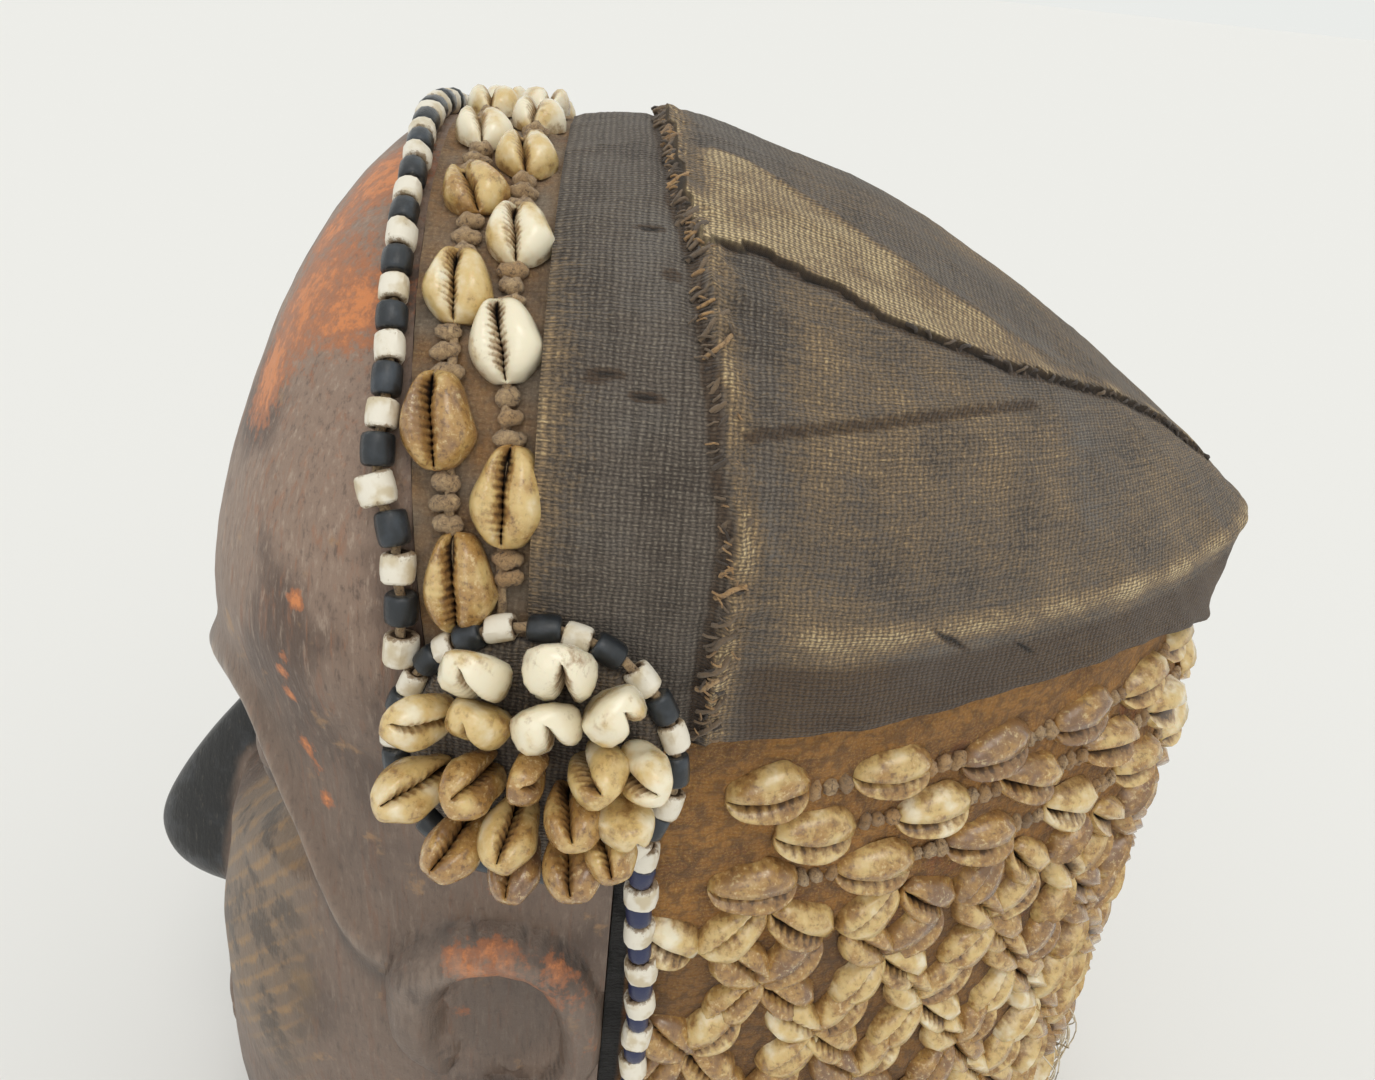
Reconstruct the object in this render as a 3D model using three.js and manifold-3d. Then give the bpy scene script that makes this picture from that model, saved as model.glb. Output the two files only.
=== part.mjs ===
// A carved wooden helmet mask with a raffia cloth cap, cowrie shells and glass beads.
// Millimetres, +Z up. The mask faces -Y, its own left side is +X, and it stands on its flat rim at z = 0.
import * as THREE from "three";
import Module from "manifold-3d";

const wasm = await Module();
wasm.setup();
const { Manifold, Mesh } = wasm;

// Overall sizes
const CROWN = 375; // rim to the top of the bead edging
const CENTRE_Y = 71.2; // the mask is built from the bead edging at y = 0, then moved to centre it

// The arch of the bead edging, from temple to temple over the crown
const ARCH_HALF = 106.5;
const ARCH_RISE = 105;
const ARCH_POWER = 2.03;

// Wooden helmet
const WOOD_DROP = 3.8; // bead centre line down to the wood below it
const WOOD_WALL = 9;
const BROW_DEPTH = 64; // how far the forehead stands in front of the bead edging
const BROW_LEVEL = 150; // depth below the crown of its fullest point
const BROW_ROOT = 158; // depth of the brow over the nose
const BROW = [
  // the edge of the forehead: degrees round from the nose, depth. It arches over each eye, then drops
  // steeply down the temple.
  [0, BROW_ROOT], [14, 151], [28, 139], [40, 133], [48, 136], [54, 149], [60, 168], [67, 194], [76, 202],
  [90, 186],
];
const CHEEK = [[0, 205], [16, 204], [32, 194], [44, 180], [54, 176], [61, 172]]; // lower edge of the socket
const SOCKET_SUNK = 13;
const EYE = { x: 40, y: 46, depth: 170, length: 42, height: 18, thick: 15, turn: 0.38, slant: 0.09 };
const LIP = { y: 76, upper: 307.5, lower: 318.5, length: 56, height: 15, thick: 24 };
const CHIN = { depth: 350, width: 72, height: 36, proud: 6 };
const NOSE = [
  // depth below the crown, half-width, distance in front of the bead edging
  [164, 6.5, 51], [184, 7.5, 65], [206, 10, 82], [226, 14, 95],
  [240, 18, 101], [250, 21, 100], [258, 19, 94], [266, 12, 83],
];
const EAR = [
  // y, depth below the crown, radius
  [11, 236, 3.5], [5, 222, 6], [4, 206, 6.5], [8, 191, 6.5], [20, 184, 6.5], [36, 188, 6.5],
  [46, 202, 6], [49, 220, 6], [48, 238, 6], [38, 250, 5.5], [26, 247, 4],
];

// Cloth
const BAND_FRONT = 3.9;
const BAND_BACK = 33;
const BAND_END = 97; // depth below the crown where the headband stops under the rosettes
const BAND_DROP = 2.3; // bead centre line down to the headband
const BAND_THICK = 3;
const CLOTH = 2.6;
const CAP_FRONT = 33.4;
const CAP_END = 242;
const CAP_HALF = 105;
const NECK_FRONT = 54.4; // just behind the wood
const NECK_TOP = 108;

// Beads and shells
const EDGE = { radius: 3.45, beads: 41, half: 149 }; // half is the length from the crown to each end
const RING = { radius: 30.6, bead: 3, count: 24 };
const COWRIE = { length: 20, width: 14.4, height: 9 };
const ROSETTE = { x: 112.8, y: 34.8, depth: 112.4, shell: { length: 20, width: 15.6, height: 11 } };
const ROSETTE_ROWS = [
  // height on the disc, then the places along the row
  [17, [-9.5, 5]],
  [8.5, [-16, -6, 4.5, 15]],
  [0, [-19.5, -10.5, 0, 9.5, 19]],
  [-8.5, [-16, -5.5, 5, 15.5]],
  [-16.5, [-8, 3, 12]],
];
const COLUMNS = [
  // the two lines of shells over the headband: distances along the arch from the crown
  { y: 12.6, drift: 0.7, at: [0, 26, 54, 81, 108, 134.5] },
  { y: 24.4, drift: 0.35, at: [13.5, 39.5, 66, 92.5, 121] },
];

// Small helpers

const clamp = (v, lo, hi) => Math.min(hi, Math.max(lo, v));
const smooth = (t) => {
  const c = clamp(t, 0, 1);
  return c * c * (3 - 2 * c);
};
const mix = (a, b, t) => a + (b - a) * t;

// A smooth curve through a few [position, value] stations.
function curve(stations) {
  const n = stations.length;
  const slope = stations.map((p, i) => {
    const a = stations[Math.max(0, i - 1)];
    const b = stations[Math.min(n - 1, i + 1)];
    return (b[1] - a[1]) / (b[0] - a[0]);
  });
  return (x) => {
    if (x <= stations[0][0]) return stations[0][1];
    if (x >= stations[n - 1][0]) return stations[n - 1][1];
    let i = 0;
    while (stations[i + 1][0] < x) i += 1;
    const [x0, y0] = stations[i];
    const [x1, y1] = stations[i + 1];
    const h = x1 - x0;
    const t = (x - x0) / h;
    const t2 = t * t;
    const t3 = t2 * t;
    return (
      (2 * t3 - 3 * t2 + 1) * y0 +
      (t3 - 2 * t2 + t) * h * slope[i] +
      (3 * t2 - 2 * t3) * y1 +
      (t3 - t2) * h * slope[i + 1]
    );
  };
}

// Half of a superellipse: its half-width at a depth below its top.
function archWidth(half, rise, power, depth) {
  const t = clamp(1 - depth / rise, 0, 1);
  return half * Math.pow(1 - Math.pow(t, power), 1 / power);
}

class Skin {
  constructor() {
    this.points = [];
    this.faces = [];
  }

  add(p) {
    this.points.push(p);
    return this.points.length - 1;
  }

  grid(rows) {
    return rows.map((row) => row.map((p) => this.add(p)));
  }

  triangle(a, b, c) {
    this.faces.push([a, b, c]);
  }

  sheet(rows, flip = false) {
    for (let i = 0; i + 1 < rows.length; i += 1) {
      for (let j = 0; j + 1 < rows[i].length; j += 1) {
        const [a, b] = [rows[i][j], rows[i][j + 1]];
        const [c, d] = [rows[i + 1][j + 1], rows[i + 1][j]];
        if (flip) {
          this.triangle(a, c, b);
          this.triangle(a, d, c);
        } else {
          this.triangle(a, b, c);
          this.triangle(a, c, d);
        }
      }
    }
  }

  // Joins two edges that may have different numbers of points.
  zip(one, two, flip = false) {
    const length = (edge) => {
      const sums = [0];
      for (let i = 1; i < edge.length; i += 1) {
        sums.push(sums[i - 1] + this.points[edge[i]].distanceTo(this.points[edge[i - 1]]));
      }
      const total = sums[sums.length - 1] || 1;
      return sums.map((s) => s / total);
    };
    const [s, t] = [length(one), length(two)];
    let [i, j] = [0, 0];
    while (i + 1 < one.length || j + 1 < two.length) {
      const stepOne = j + 1 >= two.length || (i + 1 < one.length && s[i + 1] <= t[j + 1]);
      const third = stepOne ? one[i + 1] : two[j + 1];
      if (flip) this.triangle(one[i], two[j], third);
      else this.triangle(two[j], one[i], third);
      if (stepOne) i += 1;
      else j += 1;
    }
  }

  solid() {
    const key = (p) => [p.x, p.y, p.z].map((v) => Math.round(v * 1000)).join(",");
    const index = new Map();
    const kept = [];
    const renumber = this.points.map((p) => {
      const k = key(p);
      if (!index.has(k)) {
        index.set(k, kept.length);
        kept.push(p);
      }
      return index.get(k);
    });
    const tris = this.faces
      .map((f) => f.map((v) => renumber[v]))
      .filter(([a, b, c]) => a !== b && b !== c && c !== a);
    const vertProperties = new Float32Array(kept.flatMap((p) => [p.x, p.y, p.z]));
    const build = (list) =>
      new Manifold(new Mesh({ numProp: 3, vertProperties, triVerts: new Uint32Array(list.flat()) }));
    const made = build(tris);
    return made.volume() > 0 ? made : build(tris.map(([a, b, c]) => [a, c, b]));
  }
}

function geometryOf(solid) {
  const { vertProperties, triVerts, numProp } = solid.getMesh();
  const geometry = new THREE.BufferGeometry();
  const xyz = [];
  for (let i = 0; i < vertProperties.length; i += numProp) {
    xyz.push(vertProperties[i], vertProperties[i + 1], vertProperties[i + 2]);
  }
  geometry.setAttribute("position", new THREE.Float32BufferAttribute(xyz, 3));
  geometry.setIndex(Array.from(triVerts));
  geometry.computeVertexNormals();
  return geometry;
}

// A closed wall between an outer and an inner set of rows. The first row may be folded shut over a crown.
function wall(outerRows, innerRows, folded = false) {
  const skin = new Skin();
  const outer = skin.grid(outerRows);
  const inner = skin.grid(innerRows);
  skin.sheet(outer);
  skin.sheet(inner, true);
  const edge = (rows, j) => rows.map((row) => row[j < 0 ? row.length - 1 : j]);
  if (!folded) skin.zip(outer[0], inner[0], true);
  skin.zip(outer[outer.length - 1], inner[inner.length - 1]);
  skin.zip(edge(outer, 0), edge(inner, 0));
  skin.zip(edge(outer, -1), edge(inner, -1), true);
  return skin.solid();
}

const V = (x, y, z) => new THREE.Vector3(x, y, z);

// Wooden helmet

const beadY = (depth) => 6.7 * Math.pow(clamp(depth, 0, 200) / 91, 1.5);
const sideBelow = curve([[105, 102.7], [150, 101], [200, 99], [260, 97], [320, 94.5], [375, 91]]);
const frontBelow = curve([
  [150, 64], [170, 64.5], [200, 66], [230, 71], [260, 75],
  [290, 78], [318, 79], [335, 77], [350, 74], [375, 71],
]);

function woodSide(depth, inset) {
  if (depth > ARCH_RISE) return sideBelow(depth) - inset;
  const drop = WOOD_DROP + inset;
  return archWidth(ARCH_HALF - drop, ARCH_RISE - drop, ARCH_POWER, Math.max(0, depth - drop));
}

function woodFront(depth, inset) {
  if (depth > BROW_LEVEL) {
    // Inside, the wall is left thick behind the eye sockets.
    const thick = inset > 0 ? 12 * (1 - smooth((depth - 215) / 45)) : 0;
    return frontBelow(depth) - inset - thick;
  }
  const drop = WOOD_DROP + inset;
  const thick = inset > 0 ? 12 * smooth((depth - 105) / 30) : 0;
  return archWidth(BROW_DEPTH - inset, BROW_LEVEL - drop, 1.6, Math.max(0, depth - drop)) - thick;
}

// Where the wood ends behind: just behind the beads above, under the rosette, and behind the ear below.
function woodBack(depth) {
  if (depth < 98) return beadY(depth) + 3.5;
  if (depth < 115) return mix(beadY(98) + 3.5, 33, smooth((depth - 98) / 3));
  return mix(33, 54, smooth((depth - 115) / 3));
}

// The rows of the helmet bend to follow the brow.
const browLine = curve(BROW);
const cheekLine = curve(CHEEK);
const browShare = (row) => smooth((row - 118) / 52) * (1 - smooth((row - 190) / 140));

// Carving that stands out of (or sinks into) the plain helmet, at an angle round from the nose in degrees.
function carving(x, angle, depth) {
  const brow = browLine(angle);
  const fade = 1 - smooth((angle - 70) / 18);
  const socket = smooth((depth - brow) / 9) * (1 - smooth((depth - cheekLine(angle) + 14) / 20));
  const ridge = Math.exp(-Math.pow((depth - brow + 6) / 6, 2));
  const chin = Math.pow(x / (CHIN.width / 2), 2) + Math.pow((depth - CHIN.depth) / (CHIN.height / 2), 2);
  return (2.5 * ridge - SOCKET_SUNK * socket) * fade + CHIN.proud * Math.max(0, 1 - chin);
}

// One point of the helmet: turn runs from 0 at the middle of the face to 1 at the back edge of the wood.
const TURN_SIDE = 0.78;
const WOOD_PLAN = 2 / 2.1; // the helmet is a superellipse of power 2.1 in plan

function woodPoint(row, side, turn, inset) {
  const swing = Math.min(1, turn / TURN_SIDE) * (Math.PI / 2);
  const degrees = THREE.MathUtils.radToDeg(swing);
  const bend = inset > 0 ? 0 : (browLine(degrees) - BROW_ROOT) * browShare(row);
  const depth = row + bend;
  const half = woodSide(depth, inset);
  const front = woodFront(depth, inset);
  const centre = mix(2, 22, smooth((depth - 98) / 40));
  const back = woodBack(depth);
  let x = half;
  let y = centre;
  if (turn < TURN_SIDE) {
    x = half * Math.pow(Math.sin(swing), WOOD_PLAN);
    y = centre - (front + centre) * Math.pow(Math.cos(swing), WOOD_PLAN);
    if (depth < BROW_LEVEL) {
      const rise = clamp((depth - WOOD_DROP - inset) / 30, 0, 1);
      y = Math.min(y, mix(centre, y, rise));
    }
  } else {
    y = mix(centre, back, (turn - TURN_SIDE) / (1 - TURN_SIDE));
  }
  if (inset === 0 && turn < TURN_SIDE && half > 1) {
    const out = carving(x, degrees, depth);
    const n = V(x / (half * half), (y - centre) / Math.pow(front + centre, 2), 0).normalize();
    x += n.x * out;
    y += n.y * out;
  }
  return V(side * x, y, CROWN - depth);
}

const turns = (perSide, extra) => {
  const list = [];
  for (let i = 0; i <= perSide; i += 1) list.push((TURN_SIDE * i) / perSide);
  for (let i = 1; i <= extra; i += 1) list.push(mix(TURN_SIDE, 1, i / extra));
  return list;
};

function woodRows(depths, list, inset) {
  return depths.map((depth) => [
    ...list.slice(1).reverse().map((t) => woodPoint(depth, -1, t, inset)),
    ...list.map((t) => woodPoint(depth, 1, t, inset)),
  ]);
}

const levels = (top) => {
  const list = [];
  for (let i = 0; i <= 8; i += 1) list.push(top + (98 - top) * (1 - Math.cos((i / 8) * (Math.PI / 2))));
  return list;
};
const outerDepths = [
  ...levels(WOOD_DROP), 101, 115, 118, 134, 148, 160, 167, 172, 178, 188, 199, 210,
  228, 252, 280, 308, 332, 346, 360, CROWN,
];
const innerDepths = [
  WOOD_DROP + WOOD_WALL, 18, 30, 48, 72, 98, 101, 115, 118, 135, 170, 215, 260, 310, CROWN,
];

// A closed skin over a list of equal rings of points, with a point added at each end.
function rings(list) {
  const skin = new Skin();
  const rows = list.map((ring) => {
    const row = ring.map((p) => skin.add(p));
    return [...row, row[0]];
  });
  skin.sheet(rows);
  const middle = (ring) => ring.reduce((sum, p) => sum.add(p), V(0, 0, 0)).divideScalar(ring.length);
  const first = skin.add(middle(list[0]));
  const last = skin.add(middle(list[list.length - 1]));
  const end = rows[rows.length - 1];
  for (let j = 0; j + 1 < end.length; j += 1) {
    skin.triangle(first, rows[0][j + 1], rows[0][j]);
    skin.triangle(last, end[j], end[j + 1]);
  }
  return skin.solid();
}

// The nose: a wedge from the brow down to broad wings.
function nose() {
  return rings(
    NOSE.map(([depth, half, front]) => {
      const back = woodFront(depth, 0) - 5;
      const mid = mix(back, front, 0.45);
      return [
        V(half, -back, CROWN - depth),
        V(half * 0.92, -mid, CROWN - depth),
        V(half * 0.5, -front * 0.985, CROWN - depth),
        V(-half * 0.5, -front * 0.985, CROWN - depth),
        V(-half * 0.92, -mid, CROWN - depth),
        V(-half, -back, CROWN - depth),
      ];
    }),
  );
}

// A tube of changing radius along a path, with its own sideways axis.
function tube(path, radii, axis, sides) {
  return rings(
    path.map((p, i) => {
      const a = path[Math.max(0, i - 1)];
      const b = path[Math.min(path.length - 1, i + 1)];
      const along = b.clone().sub(a).normalize();
      const out = axis.clone().sub(along.clone().multiplyScalar(axis.dot(along))).normalize();
      const across = along.clone().cross(out);
      const ring = [];
      for (let k = 0; k < sides; k += 1) {
        const angle = (2 * Math.PI * k) / sides;
        ring.push(
          p.clone()
            .add(out.clone().multiplyScalar(radii[i] * Math.cos(angle)))
            .add(across.clone().multiplyScalar(radii[i] * Math.sin(angle))),
        );
      }
      return ring;
    }),
  );
}

// The rim of a carved ear: a C that opens forward and curls in at its lower end.
function ear(side) {
  const path = EAR.map(([y, depth]) => {
    const p = woodPoint(depth, 1, TURN_SIDE, 0);
    return V(side * (p.x + 1.5), y, CROWN - depth);
  });
  return tube(path, EAR.map((r) => r[2]), V(side, 0, 0), 6);
}

// A squashed ball with pointed ends, for an eyelid or a lip.
function almond(centre, along, size) {
  const up = V(0, 0, 1).sub(along.clone().multiplyScalar(along.z)).normalize();
  const across = along.clone().cross(up);
  const stations = [-0.95, -0.6, 0, 0.6, 0.95];
  return rings(
    stations.map((t) => {
      const share = 1 - t * t;
      const list = [];
      for (let k = 0; k < 6; k += 1) {
        const angle = (2 * Math.PI * k) / 6;
        list.push(
          centre.clone()
            .add(along.clone().multiplyScalar((t * size.length) / 2))
            .add(up.clone().multiplyScalar(share * (size.height / 2) * Math.sin(angle)))
            .add(across.clone().multiplyScalar(Math.sqrt(share) * (size.thick / 2) * Math.cos(angle))),
        );
      }
      return list;
    }),
  );
}

// Closed eyelids, each turned with the curve of the face, and a pair of full lips.
function features() {
  const eye = (side) => {
    const along = V(side * Math.cos(EYE.turn), Math.sin(EYE.turn), -EYE.slant).normalize();
    return almond(V(side * EYE.x, -EYE.y, CROWN - EYE.depth), along, EYE);
  };
  const lip = (depth) => almond(V(0, -LIP.y, CROWN - depth), V(1, 0, 0), LIP);
  return [eye(1), eye(-1), lip(LIP.upper), lip(LIP.lower)];
}

function helmet() {
  const plain = wall(
    woodRows(outerDepths, turns(10, 2), 0),
    woodRows(innerDepths, turns(5, 1), WOOD_WALL),
    true,
  );
  return [nose(), ear(1), ear(-1), ...features()].reduce((sum, piece) => sum.add(piece), plain);
}

const root = new THREE.Group();
root.name = "beaded_mask";

function put(name, solid, colour, roughness) {
  const mesh = new THREE.Mesh(
    geometryOf(solid),
    new THREE.MeshStandardMaterial({ color: colour, roughness, metalness: 0 }),
  );
  mesh.name = name;
  root.add(mesh);
  return mesh;
}

put("wooden_face", helmet(), 0x6a4f40, 0.6);

// Headband and cap

const bandDepths = (top, end, count) => {
  const list = [];
  for (let i = 0; i <= count; i += 1) {
    list.push(top + (end - top) * (1 - Math.cos((i / count) * (Math.PI / 2))));
  }
  return list;
};

// A row along the arch, from the right end over the crown to the left end.
function archRow(drop, depths) {
  const half = (d) => archWidth(ARCH_HALF - drop, ARCH_RISE - drop, ARCH_POWER, Math.max(0, d - drop));
  const side = (s) => depths.map((d) => V(s * half(d), 0, CROWN - d));
  const right = side(-1);
  const left = side(1);
  return [...right.reverse(), ...left.slice(1)];
}

function headband() {
  const row = (t, drop) => {
    const depths = bandDepths(drop, BAND_END, 12);
    return archRow(drop, depths).map((p) => {
      const front = beadY(CROWN - p.z) + BAND_FRONT;
      return V(p.x, mix(front, BAND_BACK, t), p.z);
    });
  };
  const outer = [0, 0.5, 1].map((t) => row(t, BAND_DROP));
  const inner = [0, 1].map((t) => row(t, BAND_DROP + BAND_THICK));
  return wall(outer, inner);
}
put("headband_cloth", headband(), 0x6b5c4b, 0.9);

// The cap at each y: the depth of its ridge, of the hoop inside it and of its hem, and how square it is.
const capCrown = curve([
  [33, 1.6], [50, -1], [66, -1], [85, 3.5], [117, 13], [160, 35], [196, 58], [224, 78], [242, 92],
]);
const capHoop = curve([[33, 84], [80, 86], [103, 89], [149, 91], [197, 92], [242, 92]]);
const capHem = curve([[33, 113], [120, 115], [180, 113], [215, 119], [242, 131]]);
const capPower = curve([[33, 2.03], [70, 2.0], [110, 1.85], [160, 1.65], [210, 1.45], [242, 1.3]]);

function capHalf(y) {
  if (y < 60) return CAP_HALF;
  return CAP_HALF * Math.pow(1 - Math.pow((y - 60) / (CAP_END - 60), 1.5), 1 / 1.5);
}

// One cross-section of the cap: the steep wall from the hem up to the hoop, then over the crown.
function capRow(y, inset, count) {
  const half = Math.max(0, capHalf(y) - inset);
  const crown = capCrown(y) + inset;
  const hoop = Math.max(capHoop(y), crown);
  const hem = capHem(y);
  const power = capPower(y);
  const upper = [];
  for (let i = 0; i <= count; i += 1) {
    const a = (i / count) * (Math.PI / 2);
    upper.push([half * Math.pow(Math.sin(a), 2 / power), mix(hoop, crown, Math.pow(Math.cos(a), 2 / power))]);
  }
  const left = [...upper, [half, hem]];
  return [
    ...left.slice(1).reverse().map(([x, d]) => V(-x, y, CROWN - d)),
    ...left.map(([x, d]) => V(x, y, CROWN - d)),
  ];
}

function cap() {
  const stations = [CAP_FRONT, 50, 66, 84, 104, 124, 144, 164, 184, 204, 220, 232, 239, CAP_END - 0.1];
  const outer = stations.map((y) => capRow(y, 0, 7));
  const innerStations = [CAP_FRONT, 62, 94, 126, 158, 190, 216, 234];
  const inner = innerStations.map((y) => capRow(y, CLOTH, 5));
  return wall(outer, inner);
}
put("cap_cloth", cap(), 0x4a413c, 0.85);

// Neck cloth

function neckPoint(depth, turn, inset) {
  const half = sideBelow(depth) - 2.5 - inset;
  const reach = mix(176.6, 186.6, smooth((depth - 131) / 29)) - inset;
  const angle = (turn * Math.PI) / 2;
  const power = mix(1.6, 1.9, smooth((depth - 160) / 215));
  const x = half * Math.pow(Math.cos(angle), 2 / power);
  const y = NECK_FRONT + reach * Math.pow(Math.sin(angle), 2 / power);
  return [x, y];
}

function neck() {
  const rows = (inset, count, depths) =>
    depths.map((d) => {
      const half = [];
      for (let i = 0; i <= count; i += 1) half.push(neckPoint(d, i / count, inset));
      return [
        ...half.map(([x, y]) => V(x, y, CROWN - d)),
        ...half.slice(0, -1).reverse().map(([x, y]) => V(-x, y, CROWN - d)),
      ];
    });
  const outerDepths = [NECK_TOP, 131, 160, 230, 305, CROWN];
  return wall(rows(0, 10, outerDepths), rows(CLOTH, 8, [NECK_TOP, 160, 270, CROWN]));
}
put("neck_cloth", neck(), 0xa07c4f, 0.9);

// Beads

// Beads threaded end to end: each has a straight barrel and is pinched where it meets the next.
function strung(point, beads, axis, sides) {
  const path = [];
  const radii = [];
  for (const { start, end, radius } of beads) {
    const round = (end - start) * 0.12;
    path.push(point(start), point(start + round), point(end - round));
    radii.push(radius * 0.6, radius, radius);
  }
  const last = beads[beads.length - 1];
  path.push(point(last.end));
  radii.push(last.radius * 0.6);
  return tube(path, radii, axis, sides);
}

// A point on the bead edging at a distance along the arch, measured from the crown.
const archTable = (() => {
  const table = [];
  let length = 0;
  let before = null;
  for (let i = 0; i <= 600; i += 1) {
    const a = (i / 600) * (Math.PI / 2);
    const x = ARCH_HALF * Math.pow(Math.sin(a), 2 / ARCH_POWER);
    const depth = ARCH_RISE * (1 - Math.pow(Math.cos(a), 2 / ARCH_POWER));
    if (before) length += Math.hypot(x - before[0], depth - before[1]);
    before = [x, depth];
    table.push([length, x, depth]);
  }
  return table;
})();

function archPoint(s, lift) {
  const want = Math.abs(s);
  let i = 1;
  while (i + 1 < archTable.length && archTable[i][0] < want) i += 1;
  const [s0, x0, d0] = archTable[i - 1];
  const [s1, x1, d1] = archTable[i];
  const t = (want - s0) / (s1 - s0);
  const along = V(x1 - x0, 0, -(d1 - d0)).normalize();
  const out = V(-along.z, 0, along.x);
  const sign = s < 0 ? -1 : 1;
  const x = mix(x0, x1, t) + out.x * lift;
  const depth = mix(d0, d1, t) - out.z * lift;
  return {
    p: V(sign * x, 0, CROWN - depth),
    depth,
    out: V(sign * out.x, 0, out.z),
    along: V(along.x, 0, sign * along.z),
  };
}

function edging() {
  const beads = [];
  const pitch = (2 * EDGE.half) / EDGE.beads;
  for (let i = 0; i < EDGE.beads; i += 1) {
    beads.push({ start: -EDGE.half + i * pitch, end: -EDGE.half + (i + 1) * pitch, radius: EDGE.radius });
  }
  const point = (s) => {
    const at = archPoint(s, 0);
    return V(at.p.x, beadY(at.depth), at.p.z);
  };
  return strung(point, beads, V(0, 1, 0), 5);
}
put("bead_edging", edging(), 0x8f8a80, 0.4);

// Rosettes

// Each rosette is a cloth disc on the temple, ringed with beads and set with shells.
const rosette = (side) => {
  const centre = V(side * ROSETTE.x, ROSETTE.y, CROWN - ROSETTE.depth);
  const normal = V(side * 0.985, -0.12, 0.12).normalize();
  const up = V(0, 0, 1).sub(normal.clone().multiplyScalar(normal.z)).normalize();
  const back = up.clone().cross(normal).multiplyScalar(side).normalize();
  return { centre, normal, up, back };
};

const onDisc = (r, u, v, w) =>
  r.centre.clone()
    .add(r.back.clone().multiplyScalar(u))
    .add(r.up.clone().multiplyScalar(v))
    .add(r.normal.clone().multiplyScalar(w));

function pad(side) {
  const r = rosette(side);
  const ring = (radius, w) => {
    const list = [];
    for (let k = 0; k < 16; k += 1) {
      const a = (2 * Math.PI * k) / 16;
      list.push(onDisc(r, radius * Math.cos(a), radius * Math.sin(a), w));
    }
    return list;
  };
  return rings([ring(26.5, -2.4), ring(27.2, -0.6), ring(25.5, 1.4)]);
}

function ringBeads(side) {
  const r = rosette(side);
  const radius = RING.radius;
  const gap = 0.3 / radius;
  const beads = [];
  const step = (2 * Math.PI - gap) / RING.count;
  for (let i = 0; i < RING.count; i += 1) {
    beads.push({ start: i * step, end: (i + 1) * step, radius: RING.bead });
  }
  const point = (a) => onDisc(r, radius * Math.cos(a + 0.4), radius * Math.sin(a + 0.4), 0);
  return strung(point, beads, r.normal, 5);
}

// A cowrie: an egg-shaped shell, given by its share of the full size at a few places along it.
const WHOLE = [[0.05, 0.5], [0.45, 1], [0.94, 0.5]];
const STUBBY = [[0.08, 0.6], [0.55, 1], [0.92, 0.55]];

function cowrie(base, along, out, size, sides, turn = 0.5, stations = WHOLE) {
  const across = along.clone().cross(out);
  return rings(
    stations.map(([t, scale]) => {
      const list = [];
      for (let k = 0; k < sides; k += 1) {
        const a = (2 * Math.PI * (k + turn)) / sides;
        const w = (size.width / 2) * scale * Math.cos(a);
        const h = size.height * (0.5 + 0.5 * scale * Math.sin(a));
        list.push(
          base.clone()
            .add(along.clone().multiplyScalar((t - 0.5) * size.length))
            .add(across.clone().multiplyScalar(w))
            .add(out.clone().multiplyScalar(h)),
        );
      }
      return list;
    }),
  );
}

function rosetteShells(side) {
  const r = rosette(side);
  let cluster = null;
  ROSETTE_ROWS.forEach(([v, row], index) => {
    for (const u of row) {
      const lean = V(0, 0, 0)
        .add(r.back.clone().multiplyScalar(u / 34))
        .add(r.up.clone().multiplyScalar(v / 38));
      const along = r.normal.clone().add(lean).normalize();
      const middle = onDisc(r, u, v, 4.4).add(along.clone().multiplyScalar(COWRIE.length * 0.46));
      // Shells of every other row are turned a quarter round, so that the rows lock together.
      const down = index % 2 ? r.back : r.up;
      const out = down.clone().sub(along.clone().multiplyScalar(down.dot(along))).normalize();
      const base = middle.add(out.clone().multiplyScalar(-ROSETTE.shell.height / 2));
      const shell = cowrie(base, along, out, ROSETTE.shell, 6, 0, STUBBY);
      cluster = cluster ? cluster.add(shell) : shell;
    }
  });
  return cluster;
}

for (const [side, name] of [[1, "left"], [-1, "right"]]) {
  put("rosette_pad_" + name, pad(side), 0x3f382f, 0.9);
  put("rosette_beads_" + name, ringBeads(side), 0x8f8a80, 0.4);
  put("rosette_shells_" + name, rosetteShells(side), 0xcdbb96, 0.35);
}

// Cowries on the headband

let shellNumber = 0;
for (const { y, drift, at } of COLUMNS) {
  const both = [...at.filter((s) => s > 0).map((s) => -s).reverse(), ...at];
  for (const s of both) {
    const spot = archPoint(s, -1.9);
    const base = V(spot.p.x, y + beadY(spot.depth) * drift, spot.p.z);
    shellNumber += 1;
    put(
      "band_cowrie_" + String(shellNumber).padStart(2, "0"),
      cowrie(base, spot.along, spot.out, COWRIE, 6),
      0xcdbb96,
      0.35,
    );
  }
}

root.position.y = -CENTRE_Y;

export default root;
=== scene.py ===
# %% [markdown]
# A beaded helmet mask: carved wood, a cap and neck of cloth, cowrie shells and glass beads.
# The CAD model settles every size. This script lays the visible skin over it, piece by piece.
# Each step is told first in a cell like this one, and the cell after it makes the piece.

# %% Load the frame
import itertools
import math

import bmesh
import bpy
import numpy as np
from mathutils import Matrix, Vector


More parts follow.
